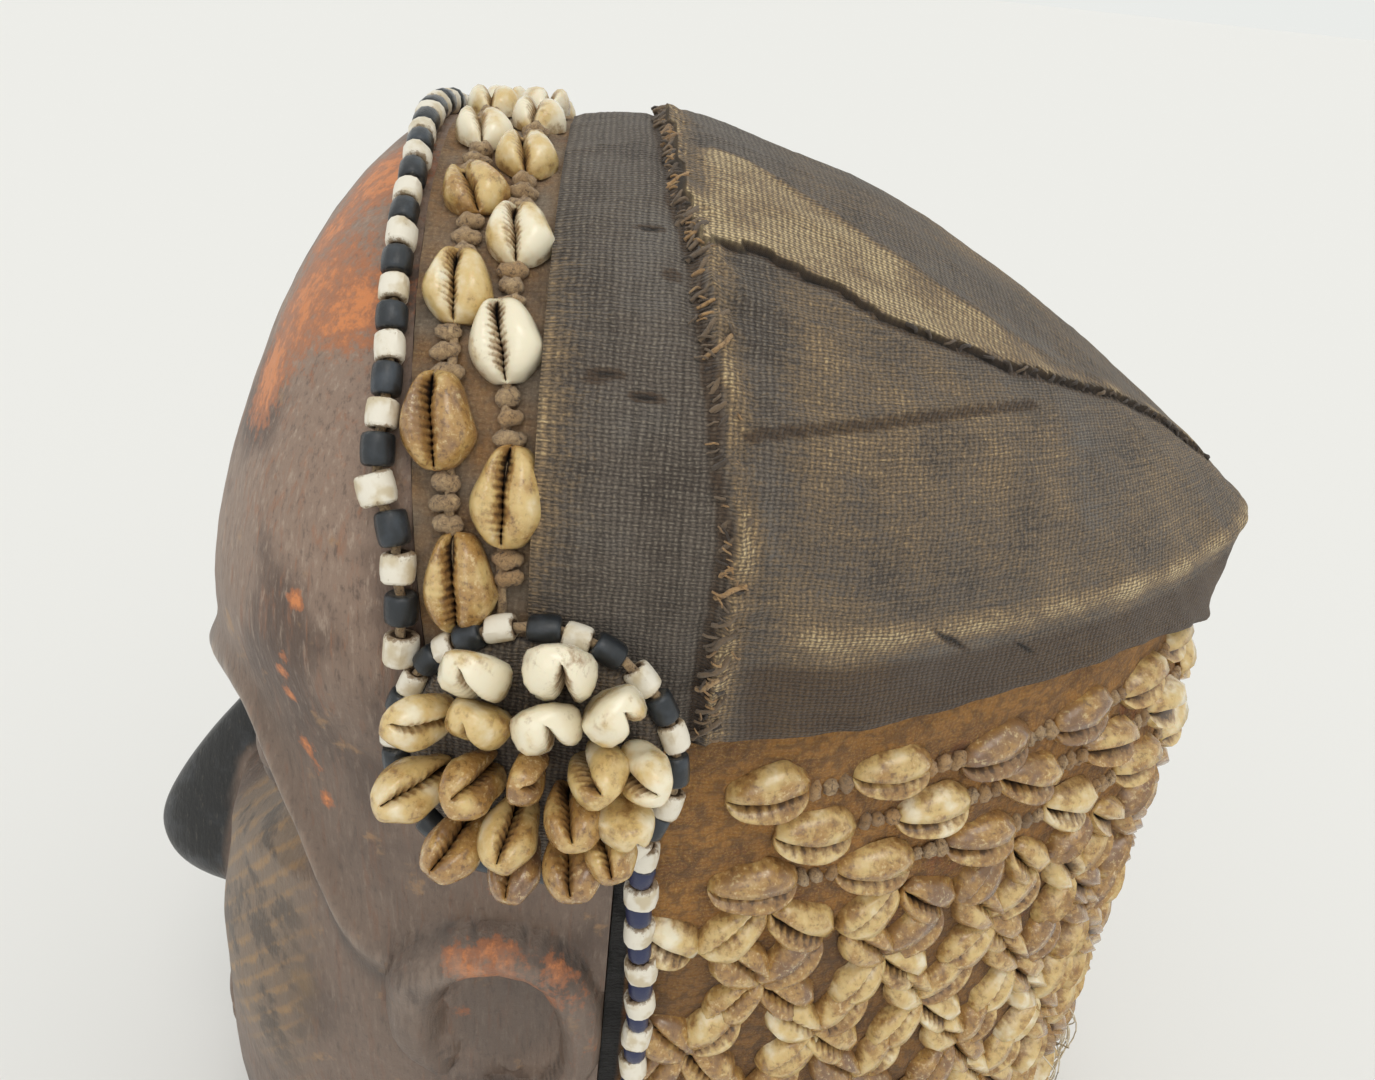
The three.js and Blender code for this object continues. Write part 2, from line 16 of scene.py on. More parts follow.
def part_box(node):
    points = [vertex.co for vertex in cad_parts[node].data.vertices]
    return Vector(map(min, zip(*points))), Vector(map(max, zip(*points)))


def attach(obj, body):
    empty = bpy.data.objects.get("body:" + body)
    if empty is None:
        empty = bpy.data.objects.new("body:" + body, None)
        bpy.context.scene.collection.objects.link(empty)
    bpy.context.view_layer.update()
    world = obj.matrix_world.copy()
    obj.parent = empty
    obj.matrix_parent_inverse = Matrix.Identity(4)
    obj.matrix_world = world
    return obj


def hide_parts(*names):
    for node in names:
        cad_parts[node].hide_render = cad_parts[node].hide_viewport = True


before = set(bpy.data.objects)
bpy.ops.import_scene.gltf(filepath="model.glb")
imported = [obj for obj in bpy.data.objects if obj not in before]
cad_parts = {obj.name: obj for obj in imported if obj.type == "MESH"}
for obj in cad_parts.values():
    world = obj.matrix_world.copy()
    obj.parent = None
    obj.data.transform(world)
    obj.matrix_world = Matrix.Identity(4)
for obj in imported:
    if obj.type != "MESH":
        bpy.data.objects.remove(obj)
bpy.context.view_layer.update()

# %% [markdown]
# All shapes are worked out in millimetres, from the bead edging: x across the face, y back from the
# beads, depth down from the crown. The crown's height and the edging's place are read off the frame,
# so the skin stays on the CAD model if that is moved. One function turns these into Blender's metres.

# %% Units and places
MM = 0.001
CAP_FRONT = 33.4  # bead edging to the front edge of the cap
BAND_DROP = 2.3  # bead centre line down to the headband
CENTRE_Y = CAP_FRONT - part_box("cap_cloth")[0].y / MM
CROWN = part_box("headband_cloth")[1].z / MM + BAND_DROP
UP = np.array([0.0, 0.0, 1.0])
SIDES = ((1, "left"), (-1, "right"))  # the mask's own left is towards +X


def place(x, y, depth):
    x, y, depth = np.broadcast_arrays(x, y, depth)
    return np.stack([x, y - CENTRE_Y, CROWN - depth], axis=-1) * MM


def unit(v):
    return v / np.maximum(np.linalg.norm(v, axis=-1, keepdims=True), 1e-9)


def mix(a, b, t):
    return a + (b - a) * t


print("crown", round(CROWN, 1), "mm high, edging", round(CENTRE_Y, 1), "mm in front of the middle")

# %% [markdown]
# Carving and sewing are described by a few simple profiles across a distance: a soft step, for where
# one surface passes into another, a bump, for a ridge or a groove, and an oval dome, for an eyelid or a
# lip. They take whole grids of numbers at once, so that one line shapes thousands of points.

# %% Profiles
def smooth(t):
    """A soft step up from 0 to 1 as t does the same."""
    t = np.clip(t, 0, 1)
    return t * t * (3 - 2 * t)


def bump(distance, width):
    """A rounded bump, 1 high in its middle, that has mostly gone at the width."""
    return np.exp(-((distance / width) ** 2))


def oval(a, b):
    """A dome, 1 high in its middle, that ends where a and b lie on a circle of radius 1."""
    return np.sqrt(np.maximum(0, 1 - a * a - b * b))


print("a bump at half its width is", round(float(bump(0.5, 1)), 2), "high")

# %% [markdown]
# Three more tools shape everything that follows. A smooth curve runs through a few stations. Noise
# gives a hand-made surface its unevenness: random values on a lattice, blended, and the same on every
# run. The nearest place on a path lets a seam or a carved ear be raised from a plain surface.

# %% Curves, noise and paths
def curve(stations):
    xs, ys = np.array(stations, float).T
    last = len(xs) - 1
    index = np.arange(len(xs))
    before, after = np.maximum(index - 1, 0), np.minimum(index + 1, last)
    slope = (ys[after] - ys[before]) / (xs[after] - xs[before])

    def at(x):
        x = np.clip(x, xs[0], xs[-1])
        i = np.clip(np.searchsorted(xs, x, side="right") - 1, 0, last - 1)
        h = xs[i + 1] - xs[i]
        t = (x - xs[i]) / h
        bend = (2 * t**3 - 3 * t**2 + 1) * ys[i] + (3 * t**2 - 2 * t**3) * ys[i + 1]
        return bend + h * ((t**3 - 2 * t**2 + t) * slope[i] + (t**3 - t**2) * slope[i + 1])

    return at


def noise(points, size, seed=0):
    """Smooth random values from -1 to 1, changing about every size."""
    p = np.asarray(points, float) / size + 100
    cell = np.floor(p).astype(np.int64)
    part = p - cell
    part = part * part * (3 - 2 * part)
    total = np.zeros(p.shape[:-1])
    for corner in itertools.product((0, 1), repeat=p.shape[-1]):
        key = np.full(p.shape[:-1], 7919 * (seed + 1), np.int64)
        for axis, step in enumerate(corner):
            key = (key * 31 + cell[..., axis] + step) * 2654435 % 4294967291
        key = (key ^ (key >> 13)) * 60493 % 4294967291
        value = (key % 65521) / 32760 - 1
        total += value * np.prod(np.where(corner, part, 1 - part), axis=-1)
    return total


def travelled(path):
    """How far along a path each of its points lies."""
    return np.concatenate([[0], np.cumsum(np.linalg.norm(np.diff(path, axis=0), axis=1))])


def along_path(path, lengths, want):
    """The places on a path at the distances wanted, with the distance of each path point given."""
    return np.stack([np.interp(want, lengths, path[:, k]) for k in range(path.shape[1])], axis=-1)


def nearest_on_path(points, path):
    """Distance to a path, how far along it that is from 0 to 1, and the nearest place on it."""
    path = np.asarray(path, float)
    starts = travelled(path)
    best = np.full(points.shape[:-1], np.inf)
    along = np.zeros(points.shape[:-1])
    spot = np.zeros(points.shape)
    for i, (a, b) in enumerate(zip(path[:-1], path[1:])):
        length = starts[i + 1] - starts[i]
        t = np.clip(((points - a) @ (b - a)) / max(length**2, 1e-9), 0, 1)
        place_on = a + t[..., None] * (b - a)
        distance = np.linalg.norm(points - place_on, axis=-1)
        closer = distance < best
        best = np.where(closer, distance, best)
        along = np.where(closer, starts[i] + t * length, along)
        spot = np.where(closer[..., None], place_on, spot)
    return best, along / starts[-1], spot


print("a curve through three stations, at its middle:", curve([[0, 0], [1, 2], [2, 0]])(1.0))

# %% [markdown]
# A sheet of cloth or a carved wall is a grid of points. The visible side is fine and the hidden inner
# side is coarse, so the two are zipped together along their edges. Doubled points are then merged
# and the faces turned outwards, which works because the wall is one closed skin.

# %% Faces of grids and rings
def grid_faces(rows, columns, first=0, closed=False):
    i = np.arange(rows - 1)[:, None] * columns
    j = np.arange(columns if closed else columns - 1)[None, :]
    a, b = i + j, i + (j + 1) % columns
    return (np.stack([a, b, b + columns, a + columns], axis=-1).reshape(-1, 4) + first).tolist()


def flat_ends(count, sides):
    """The two end faces of a tube of count points in rings of a number of sides."""
    return [list(range(sides - 1, -1, -1)), list(range(count - sides, count))]


def pointed_ends(count, sides):
    """Triangles from the end rings of such a tube to two more points, which follow the others."""
    faces = []
    for j in range(sides):
        faces.append([count, (j + 1) % sides, j])
        faces.append([count + 1, count - sides + j, count - sides + (j + 1) % sides])
    return faces


def zip_faces(points, one, two):
    """Triangles between two rows of points that follow each other with different spacing."""
    s, t = (travelled(points[edge]) / max(travelled(points[edge])[-1], 1e-9) for edge in (one, two))
    i = j = 0
    faces = []
    while i + 1 < len(one) or j + 1 < len(two):
        first = j + 1 >= len(two) or (i + 1 < len(one) and s[i + 1] <= t[j + 1])
        faces.append([one[i], two[j], one[i + 1] if first else two[j + 1]])
        i, j = (i + 1, j) if first else (i, j + 1)
    return faces


print("a tube of three rings with six sides has", len(grid_faces(3, 6, closed=True)), "side faces")

# %% Pieces from points and faces
def make_piece(name, points, faces, finish, uv=None, marks=None, sharp=50):
    """One closed mesh object, with its UV map and its marks, which are numbers per point."""
    mesh = bpy.data.meshes.new(name)
    mesh.from_pydata(np.asarray(points).tolist(), [], faces)
    if uv is not None:
        corner = np.empty(len(mesh.loops), np.int64)
        mesh.loops.foreach_get("vertex_index", corner)
        mesh.uv_layers.new(name="UVMap").data.foreach_set("uv", np.asarray(uv)[corner].ravel())
    for mark, values in (marks or {}).items():
        layer = mesh.attributes.new(mark, "FLOAT", "POINT")
        layer.data.foreach_set("value", np.asarray(values, float).ravel())
    tidy = bmesh.new()
    tidy.from_mesh(mesh)
    bmesh.ops.remove_doubles(tidy, verts=tidy.verts, dist=0.00001 * MM)
    bmesh.ops.recalc_face_normals(tidy, faces=tidy.faces)
    tidy.to_mesh(mesh)
    tidy.free()
    mesh.shade_smooth()
    mesh.set_sharp_from_angle(angle=math.radians(sharp))
    mesh.materials.append(finish)
    piece = bpy.data.objects.new(name, mesh)
    bpy.context.scene.collection.objects.link(piece)
    return piece


def wall_piece(name, outer, inner, finish, uv, inner_uv, marks, folded=False):
    """A wall: outer and inner are grids of points in metres, marks are grids over the outer one."""
    rows, columns = outer.shape[:2]
    inner_rows, inner_columns = inner.shape[:2]
    points = np.concatenate([outer.reshape(-1, 3), inner.reshape(-1, 3)])
    first = rows * columns
    out_index = np.arange(first).reshape(rows, columns)
    in_index = first + np.arange(inner_rows * inner_columns).reshape(inner_rows, inner_columns)
    faces = grid_faces(rows, columns) + grid_faces(inner_rows, inner_columns, first)
    edges = [(out_index[-1], in_index[-1]), (out_index[:, 0], in_index[:, 0]),
             (out_index[:, -1], in_index[:, -1])]
    if not folded:
        edges.append((out_index[0], in_index[0]))
    for one, two in edges:
        faces += zip_faces(points, one.tolist(), two.tolist())
    plain = np.zeros(inner_rows * inner_columns)
    marks = {mark: np.concatenate([grid.ravel(), plain]) for mark, grid in marks.items()}
    whole_uv = np.concatenate([uv.reshape(-1, 2), inner_uv.reshape(-1, 2)])
    return make_piece(name, points, faces, finish, whole_uv, marks)


def raised(points, height):
    """Moves a grid of points, in metres, outwards by a height in millimetres."""
    down, across = np.gradient(points, axis=0), np.gradient(points, axis=1)
    out = unit(np.cross(across, down))
    away = points - np.array([0, 0, points[..., 2].mean()])
    out = out * np.where((out * away).sum(-1, keepdims=True).mean() < 0, -1, 1)
    return points + out * height[..., None] * MM


def triangles(piece):
    return sum(len(face.vertices) - 2 for face in piece.data.polygons)


def report(piece):
    print(piece.name, triangles(piece), "triangles")
    return piece


# %% [markdown]
# Materials are node trees. Colours are written as the hex values a paint chart would give, which are
# sRGB, and one function turns them to the linear numbers Blender works in. One helper adds a node.
# Paint lays one colour over another by a mask, which is how wear, dirt and pigment build up on the
# real mask. A mask that only follows the shape would have clean edges, so noises make it uneven.

# %% Colours and nodes
def linear(text):
    channels = [int(text[i:i + 2], 16) / 255 for i in (1, 3, 5)]
    return [c / 12.92 if c <= 0.04045 else ((c + 0.055) / 1.055) ** 2.4 for c in channels] + [1.0]


def add_node(tree, kind, inputs=None, out=0, **settings):
    """Adds a node with its settings and inputs, by name or in order, and gives one of its outputs."""
    node = tree.nodes.new(kind)
    for name, value in settings.items():
        setattr(node, name, value)
    for key, value in (dict(enumerate(inputs)) if isinstance(inputs, list) else inputs or {}).items():
        if isinstance(value, bpy.types.NodeSocket):
            tree.links.new(value, node.inputs[key])
        elif isinstance(value, str) and value.startswith("#"):
            node.inputs[key].default_value = linear(value)
        else:
            node.inputs[key].default_value = value
    return node.outputs[out]


def paint(tree, base, coats):
    """Lays coats over a base colour. A coat is its colour and its masks, which are multiplied. A mask
    is a number, a socket, or a soft step written (value, low, high, top, bottom), which goes from the
    bottom to the top as the value goes from low to high. Left out, the top is 1 and the bottom 0."""
    for colour, *masks in coats:
        amount = None
        for mask in masks:
            if isinstance(mask, tuple):
                value, low, high, top, bottom = mask + (1.0, 0.0)[len(mask) - 3:]
                mask = add_node(tree, "ShaderNodeMapRange", {
                    "Value": value, "From Min": low, "From Max": high, "To Min": bottom,
                    "To Max": top}, interpolation_type="SMOOTHSTEP")
            amount = mask if amount is None else add_node(
                tree, "ShaderNodeMath", [amount, mask], operation="MULTIPLY")
        base = add_node(tree, "ShaderNodeMix", {0: amount, 6: base, 7: colour}, 2, data_type="RGBA")
    return base


def uneven(tree, mark, noises):
    """A mark with noises added, each as (noise, strength, the noise value that changes nothing)."""
    for value, strength, middle in noises:
        centred = add_node(tree, "ShaderNodeMath", [value, middle], operation="SUBTRACT")
        mark = add_node(tree, "ShaderNodeMath", [centred, strength, mark], operation="MULTIPLY_ADD")
    return mark


print("bead white in linear numbers:", [round(v, 3) for v in linear("#e6dfce")])

# %% Finishes
def new_finish(name):
    finish = bpy.data.materials.new(name)
    finish.use_nodes = True
    finish.node_tree.nodes.clear()
    return finish, finish.node_tree


def finish_with(tree, colour, roughness, heights, **inputs):
    """The shader, its bumps as (height, millimetres) from coarse to fine, and the output."""
    inputs = {"Base Color": colour, "Roughness": roughness, **inputs}
    for height, size in heights:
        raising = {"Height": height, "Distance": size * MM, "Strength": 1.0}
        if "Normal" in inputs:
            raising["Normal"] = inputs["Normal"]
        inputs["Normal"] = add_node(tree, "ShaderNodeBump", raising)
    shader = add_node(tree, "ShaderNodeBsdfPrincipled", inputs)
    output = tree.nodes.new("ShaderNodeOutputMaterial")
    tree.links.new(shader, output.inputs["Surface"])


def per_mm(size):
    """The scale of a pattern on Object coordinates that repeats about every size in millimetres."""
    return 1 / (size * MM)


print("a pattern every 2 mm on Object coordinates has a scale of", round(per_mm(2)))

# %% [markdown]
# The camera stands where the photograph was taken: beside the mask's left temple, a little in front
# and well above it, and held slightly turned. It is close, so the perspective is strong.

# %% Camera
CAMERA_AT = Vector((284.74, 46.19 - CENTRE_Y, CROWN + 36.27)) * MM
AZIMUTH, ELEVATION, ROLL = (math.radians(v) for v in (84.755, 28.775, 6.108))
LENS, SENSOR = 27.466, 36.0

back = Vector((math.sin(AZIMUTH) * math.cos(ELEVATION), -math.cos(AZIMUTH) * math.cos(ELEVATION),
               math.sin(ELEVATION)))
right = (-back).cross(Vector((0, 0, 1))).normalized()
above = right.cross(-back)
camera_x = right * math.cos(ROLL) + above * math.sin(ROLL)
camera_y = above * math.cos(ROLL) - right * math.sin(ROLL)
camera = bpy.data.objects.new("camera", bpy.data.cameras.new("camera"))
camera.data.lens, camera.data.sensor_width = LENS, SENSOR
camera.data.clip_start, camera.data.clip_end = 0.02, 200
camera.matrix_world = Matrix.Translation(CAMERA_AT) @ Matrix(
    (camera_x, camera_y, back)).transposed().to_4x4()
bpy.context.scene.collection.objects.link(camera)
bpy.context.scene.camera = camera
print("camera at", [round(v, 3) for v in CAMERA_AT])

# %% [markdown]
# The arch of the bead edging is a superellipse from temple to temple. The helmet, the headband and
# the beads all hang on it, so its length is tabulated once and places on it are looked up.

# %% The arch over the head
ARCH_HALF, ARCH_RISE, ARCH_POWER = 106.5, 105.0, 2.03


def arch_width(half, rise, power, depth):
    t = np.clip(1 - depth / rise, 0, 1)
    return half * (1 - t**power) ** (1 / power)


def bead_y(depth):
    """The edging leans back as it goes down."""
    return 6.7 * (np.clip(depth, 0, 200) / 91) ** 1.5


turn_table = np.linspace(0, math.pi / 2, 1200)
arch_x = ARCH_HALF * np.sin(turn_table) ** (2 / ARCH_POWER)
arch_depth = ARCH_RISE * (1 - np.cos(turn_table) ** (2 / ARCH_POWER))
arch_length = travelled(np.stack([arch_x, arch_depth], axis=-1))


def on_arch(s, lift=0.0):
    """Places at distances s along the arch from the crown: x, depth, outward and along."""
    s = np.asarray(s, float)
    sign = np.where(s < 0, -1.0, 1.0)
    want = np.abs(s)
    x = np.interp(want, arch_length, arch_x)
    depth = np.interp(want, arch_length, arch_depth) + np.maximum(want - arch_length[-1], 0)
    step = 0.5
    ahead = np.interp(want + step, arch_length, arch_x), np.interp(want + step, arch_length, arch_depth)
    dx = ahead[0] - x
    dz = np.where(want + step > arch_length[-1], -step, -(ahead[1] - depth))
    along = unit(np.stack([dx, np.zeros_like(dx), dz], axis=-1))
    out = np.stack([-along[..., 2], np.zeros_like(dx), along[..., 0]], axis=-1)
    mirror = np.stack([sign, np.ones_like(sign), np.ones_like(sign)], axis=-1)
    out, along = out * mirror, along * mirror * sign[..., None]
    return sign * x + out[..., 0] * lift, depth - out[..., 2] * lift, out, along


print("arch from crown to temple:", round(arch_length[-1], 1), "mm")

# %% [markdown]
# The helmet is one piece of wood, hollowed out. Its outside is a grid of rows by depth and columns by
# the turn from the nose round to behind the ear. Brow, eye sockets, closed lids, nose, lips, chin and
# ears are all raised from that grid, so the carving is one skin as it is in the wood. A grid's steps
# show where an edge crosses them at a slant. So the rows follow the brow and the columns beside the
# nose follow its flank, which keeps both edges clean.

# %% Helmet outline
WOOD_DROP, WOOD_WALL, FACE_WALL = 3.8, 9.0, 12.0  # below the beads, thickness, and more behind the face
BROW_DEPTH, BROW_LEVEL, BROW_ROOT = 64.0, 150.0, 158.0
SOCKET_SUNK, TURN_SIDE, WOOD_PLAN = 13.0, 0.78, 2 / 2.1
NOSE_TURN, FACE_TURN = 0.1008, 0.3  # columns follow the nose up to the first, and are even from the second
nose_half = curve([[158, 6.0], [164, 6.5], [184, 7.5], [206, 10], [226, 14], [240, 19], [250, 22],
                   [258, 20], [264, 15], [268, 9]])
nose_front = curve([[158, 46], [164, 51], [184, 65], [206, 82], [226, 95], [240, 101], [250, 100],
                    [258, 95], [264, 86], [268, 74]])
brow_line = curve([[0, BROW_ROOT], [14, 151], [28, 139], [40, 133], [48, 136], [54, 149], [60, 168],
                   [67, 194], [76, 202], [90, 186]])
cheek_line = curve([[0, 205], [16, 204], [32, 194], [44, 180], [54, 176], [61, 172]])
side_below = curve([[105, 102.7], [150, 101], [200, 99], [260, 97], [320, 94.5], [375, 91]])
front_below = curve([[150, 64], [170, 64.5], [200, 66], [230, 71], [260, 75], [290, 78], [318, 79],
                     [335, 77], [350, 74], [375, 71]])


def wood_side(depth, inset):
    drop = WOOD_DROP + inset
    above_half = arch_width(ARCH_HALF - drop, ARCH_RISE - drop, ARCH_POWER, np.maximum(0, depth - drop))
    return np.where(depth > ARCH_RISE, side_below(depth) - inset, above_half)


def wood_front(depth, inset):
    drop = WOOD_DROP + inset
    thick = FACE_WALL if inset else 0.0
    over = arch_width(BROW_DEPTH - inset, BROW_LEVEL - drop, 1.6, np.maximum(0, depth - drop))
    over = over - thick * smooth((depth - 105) / 30)
    under = front_below(depth) - inset - thick * (1 - smooth((depth - 215) / 45))
    return np.where(depth > BROW_LEVEL, under, over)


def wood_back(depth):
    behind_beads = np.where(depth < 98, bead_y(depth), bead_y(98)) + 3.5
    under_rosette = mix(behind_beads, 33, smooth((depth - 98) / 3))
    return np.where(depth < 115, under_rosette, mix(33, 54, smooth((depth - 115) / 3)))


print("helmet half-width at the ears", round(float(wood_side(np.array(200.0), 0)), 1), "mm")

# %% Helmet grid
def swing_of(turn):
    """The angle in plan from the nose to a column, which stops growing at the side."""
    return np.minimum(1, turn / TURN_SIDE) * math.pi / 2


def beside_nose(turn, depth, half):
    """Moves the columns near the nose, so that one of them runs down its flank."""
    share = np.minimum(nose_half(depth) / np.maximum(half, 1), 0.9)
    at_nose = np.arcsin(share ** (1 / WOOD_PLAN)) * TURN_SIDE / (math.pi / 2)
    at_nose = mix(NOSE_TURN, at_nose, smooth((depth - 115) / 35))
    beyond = mix(at_nose, FACE_TURN, (turn - NOSE_TURN) / (FACE_TURN - NOSE_TURN))
    moved = np.where(turn < FACE_TURN, beyond, turn)
    return np.where(turn < NOSE_TURN, turn * at_nose / NOSE_TURN, moved)


def wood_grid(rows, turns, inset):
    """The plain helmet: x, y, depth, the way out in plan, and degrees round from the nose."""
    row, turn = np.meshgrid(rows, np.abs(turns), indexing="ij")
    share = smooth((row - 118) / 52) * (1 - smooth((row - 190) / 140))
    depth = row if inset else row + (brow_line(np.degrees(swing_of(turn))) - BROW_ROOT) * share
    half, front = wood_side(depth, inset), wood_front(depth, inset)
    if not inset:
        turn = beside_nose(turn, depth, half)
    swing = swing_of(turn)
    centre = mix(2, 22, smooth((depth - 98) / 40))
    x = half * np.sin(swing) ** WOOD_PLAN
    y = centre - (front + centre) * np.cos(swing) ** WOOD_PLAN
    rise = np.clip((depth - WOOD_DROP - inset) / 30, 0, 1)
    y = np.where(depth < BROW_LEVEL, np.minimum(y, mix(centre, y, rise)), y)
    behind = mix(centre, wood_back(depth), (turn - TURN_SIDE) / (1 - TURN_SIDE))
    y = np.where(turn < TURN_SIDE, y, behind)
    x = np.where(turn < TURN_SIDE, x, half)
    wide = np.maximum(half, 1)
    out = unit(np.stack([x / wide**2, (y - centre) / (front + centre + 1) ** 2], axis=-1))
    out[..., 1] = np.where(turn < TURN_SIDE, out[..., 1], 0)
    side = np.broadcast_to(np.where(np.asarray(turns) < 0, -1.0, 1.0), row.shape)
    return x, y, depth, out, np.degrees(swing), side


outer_rows = np.concatenate([
    WOOD_DROP + (98 - WOOD_DROP) * (1 - np.cos(np.linspace(0, math.pi / 2, 62))), [99.5, 101, 103],
    np.arange(104.5, 114.9, 1.7), [115, 116.5, 118], np.arange(119.5, CROWN - 0.8, 1.62), [CROWN]])
half_turns = np.concatenate([np.arange(0, 0.12, 0.0036), np.arange(0.12, 0.62, 0.0092),
                             np.linspace(0.62, 1, 56)])
outer_turns = np.concatenate([-half_turns[:0:-1], half_turns])
x, y, depth, out, degrees, side = wood_grid(outer_rows, outer_turns, 0)
lumps = place(x * side, y, depth) / MM
print("helmet grid", x.shape)

# %% [markdown]
# The face is a spirit's face, a carver's stylised design. What the photograph shows of it is followed:
# the bulging forehead, its edge that drops steeply to the temple, the black nose, the striped cheek and
# the curled ear. Eyes, mouth and chin are hidden there and are kept calm and simple. Every feature is a
# height over the plain helmet, so that features blend where they meet, as chisel work does.

# %% Carving of the face
EYE_AT, EYE_SIZE = (36.0, 178.0), (19.5, 9.2)
LIPS_AT, LIPS_PART, LIP_HALF = (307.5, 318.5), 313.0, 29.0
CHIN = {"depth": 350.0, "width": 72.0, "height": 36.0, "proud": 6.0}

eye_along = (x - EYE_AT[0]) / EYE_SIZE[0]
eye_down = (depth - EYE_AT[1] - 2 * eye_along) / EYE_SIZE[1]
lids_meet = eye_down - 0.35 * (1 - eye_along**2)
past_brow = depth - brow_line(degrees)


def carved_out():
    """How far the carving stands out of the plain helmet, in millimetres."""
    fade = 1 - smooth((degrees - 72) / 16)
    socket = smooth(past_brow / 7) * (1 - smooth((depth - cheek_line(degrees) + 14) / 20))
    height = (2.5 * bump(past_brow + 6, 6) - SOCKET_SUNK * socket) * fade
    chin_over, chin_down = 2 * x / CHIN["width"], 2 * (depth - CHIN["depth"]) / CHIN["height"]
    height += CHIN["proud"] * np.maximum(0, 1 - chin_over**2 - chin_down**2)
    height += 6.2 * oval(eye_along, eye_down)
    height -= 1.8 * bump(lids_meet, 0.12) * (np.abs(eye_along) < 1)
    height += 4.0 * bump(degrees - 42, 24) * bump(depth - 240, 36)
    for at in LIPS_AT:
        bow = 2.2 * (x / LIP_HALF) ** 2 * np.sign(at - LIPS_PART)
        height += 4.0 * oval(x / LIP_HALF, (depth - at + bow) / 6.6)
    return height


carving = np.where(degrees < 89.9, carved_out(), 0)
print("carving from", round(float(carving.min()), 1), "to", round(float(carving.max()), 1), "mm")

# %% Carving of the ears
EAR_RIM = [(11, 236), (6.5, 228), (4.5, 220), (4, 212), (5, 203), (7.5, 196), (12, 190), (18, 186.5),
           (27, 186), (36, 189.5), (42.5, 196), (47, 207), (49, 220), (49, 231), (46, 241), (38, 249),
           (26, 247)]
EAR_FOLD = [(12, 230), (16, 220), (15, 207), (22, 206), (27, 216), (30, 236)]
ear_width = curve([[0, 3.5], [0.1, 6.4], [0.2, 7.4], [0.35, 8.2], [0.5, 7.2], [0.7, 6.0], [1, 4.2]])

on_side = smooth((degrees - 66) / 12)
ear_places = np.stack([y, depth], axis=-1)
from_rim, round_ear, _ = nearest_on_path(ear_places, EAR_RIM)
rim_width = ear_width(round_ear)
rim = (0.75 * rim_width + 2.2) * np.sqrt(np.maximum(0, 1 - (from_rim / rim_width) ** 2.4))
fold = 3.6 * oval(nearest_on_path(ear_places, EAR_FOLD)[0] / 3.6, 0)
hollow = 1 - smooth((np.hypot((y - 28) / 19, (depth - 216) / 27) - 0.5) / 0.45)
carving = carving + np.maximum(rim, fold - 7.0 * hollow) * on_side
carving = carving + 0.45 * noise(lumps, 19, 3) + 0.22 * noise(lumps, 8, 4) + 0.1 * noise(lumps, 3, 5)
print("the ear stands out", round(float(rim.max()), 1), "mm")

# %% The nose and the outer skin
share = np.abs(x) / np.maximum(nose_half(depth), 1)
keep = smooth((depth - WOOD_DROP) / 8)
x, y = x + out[..., 0] * carving * keep, y + out[..., 1] * carving * keep
bridge = smooth((depth - 156) / 6) * (1 - smooth((depth - 264) / 5))
bridge = bridge * np.sqrt(np.maximum(0, 1 - share**2.6))
nose_y = -mix(46.0, nose_front(depth), bridge)
JOIN = 1.6  # the nose runs into the face over about this many millimetres
joined_y = -JOIN * np.logaddexp(-y / JOIN, -nose_y / JOIN)
proud_nose = np.where(bridge > 0, y - joined_y, 0)
y = y - proud_nose
outer = place(x * side, y, depth)
inner_rows = np.array([WOOD_DROP + WOOD_WALL, 18, 30, 48, 72, 98, 101, 115, 118, 135, 170, 215, 260,
                       310, CROWN])
inner_turns = np.linspace(-1, 1, 41)
inner_x, inner_y, inner_depth, _, _, inner_side = wood_grid(inner_rows, inner_turns, WOOD_WALL)
inner = place(inner_x * inner_side, inner_y, inner_depth)
print("the nose stands out", round(float(proud_nose.max()), 1), "mm")

# %% [markdown]
# The pigment on the wood is drawn in the mesh's own marks: orange-red earth rubbed into the forehead
# and ear, ochre stripes on the cheek, a black nose, black lines and hollows of painted shade under the
# brow, where the lids and the lips meet and round the ear, and edges rubbed bare by handling, which are
# also lighter as painted highlight on the brow's edge and the crest of the ear. A mark is one number
# for each point of the mesh. It says how much there is of a finish, and the material decides what that
# looks like, so the marks stay soft and simple here and get their ragged edges there.

# %% Orange pigment
PIGMENT = [
    # x, y, depth, radius: two broad patches high on the forehead, then small remains down the temple
    (34, -9, 13, 22), (40, -18, 26, 16), (56, -18, 36, 26), (68, -9, 34, 17), (62, -30, 50, 16),
    (96, -17, 88, 3.2), (94, -20, 103, 2.6), (93, -22, 108, 2.6), (92, -21, 115, 2.6), (91, -20, 132, 3.6),
    (92, -18, 138, 2.6), (92, -16, 147, 3.6), (101, 17, 215, 5), (101, 30, 226, 3.6),
    (100, 34, 158, 6), (100, 26, 166, 4), (20, -44, 60, 9), (0, -58, 96, 7), (78, -36, 76, 5),
]
spots = np.stack([x, y, depth], axis=-1)
pigment = np.zeros(x.shape)
for *middle, radius in PIGMENT:
    reach = np.linalg.norm((spots - middle) / (1, 1, 1.15), axis=-1) / radius
    pigment = np.maximum(pigment, 1.25 - reach)
on_ear = smooth((rim - 2) / 3) * on_side * (0.75 + 0.4 * noise(lumps, 9, 6))
top_of_ear = smooth((round_ear - 0.3) / 0.08) * smooth((0.66 - round_ear) / 0.1)
back_of_ear = smooth((round_ear - 0.55) / 0.1) * smooth((0.9 - round_ear) / 0.1)
pigment = np.maximum(pigment, on_ear * np.maximum(0.95 * top_of_ear, 0.6 * back_of_ear))
pigment = np.clip(pigment, 0, 1)
print("orange pigment on", round(100 * float((pigment > 0.5).mean()), 1), "% of the points")
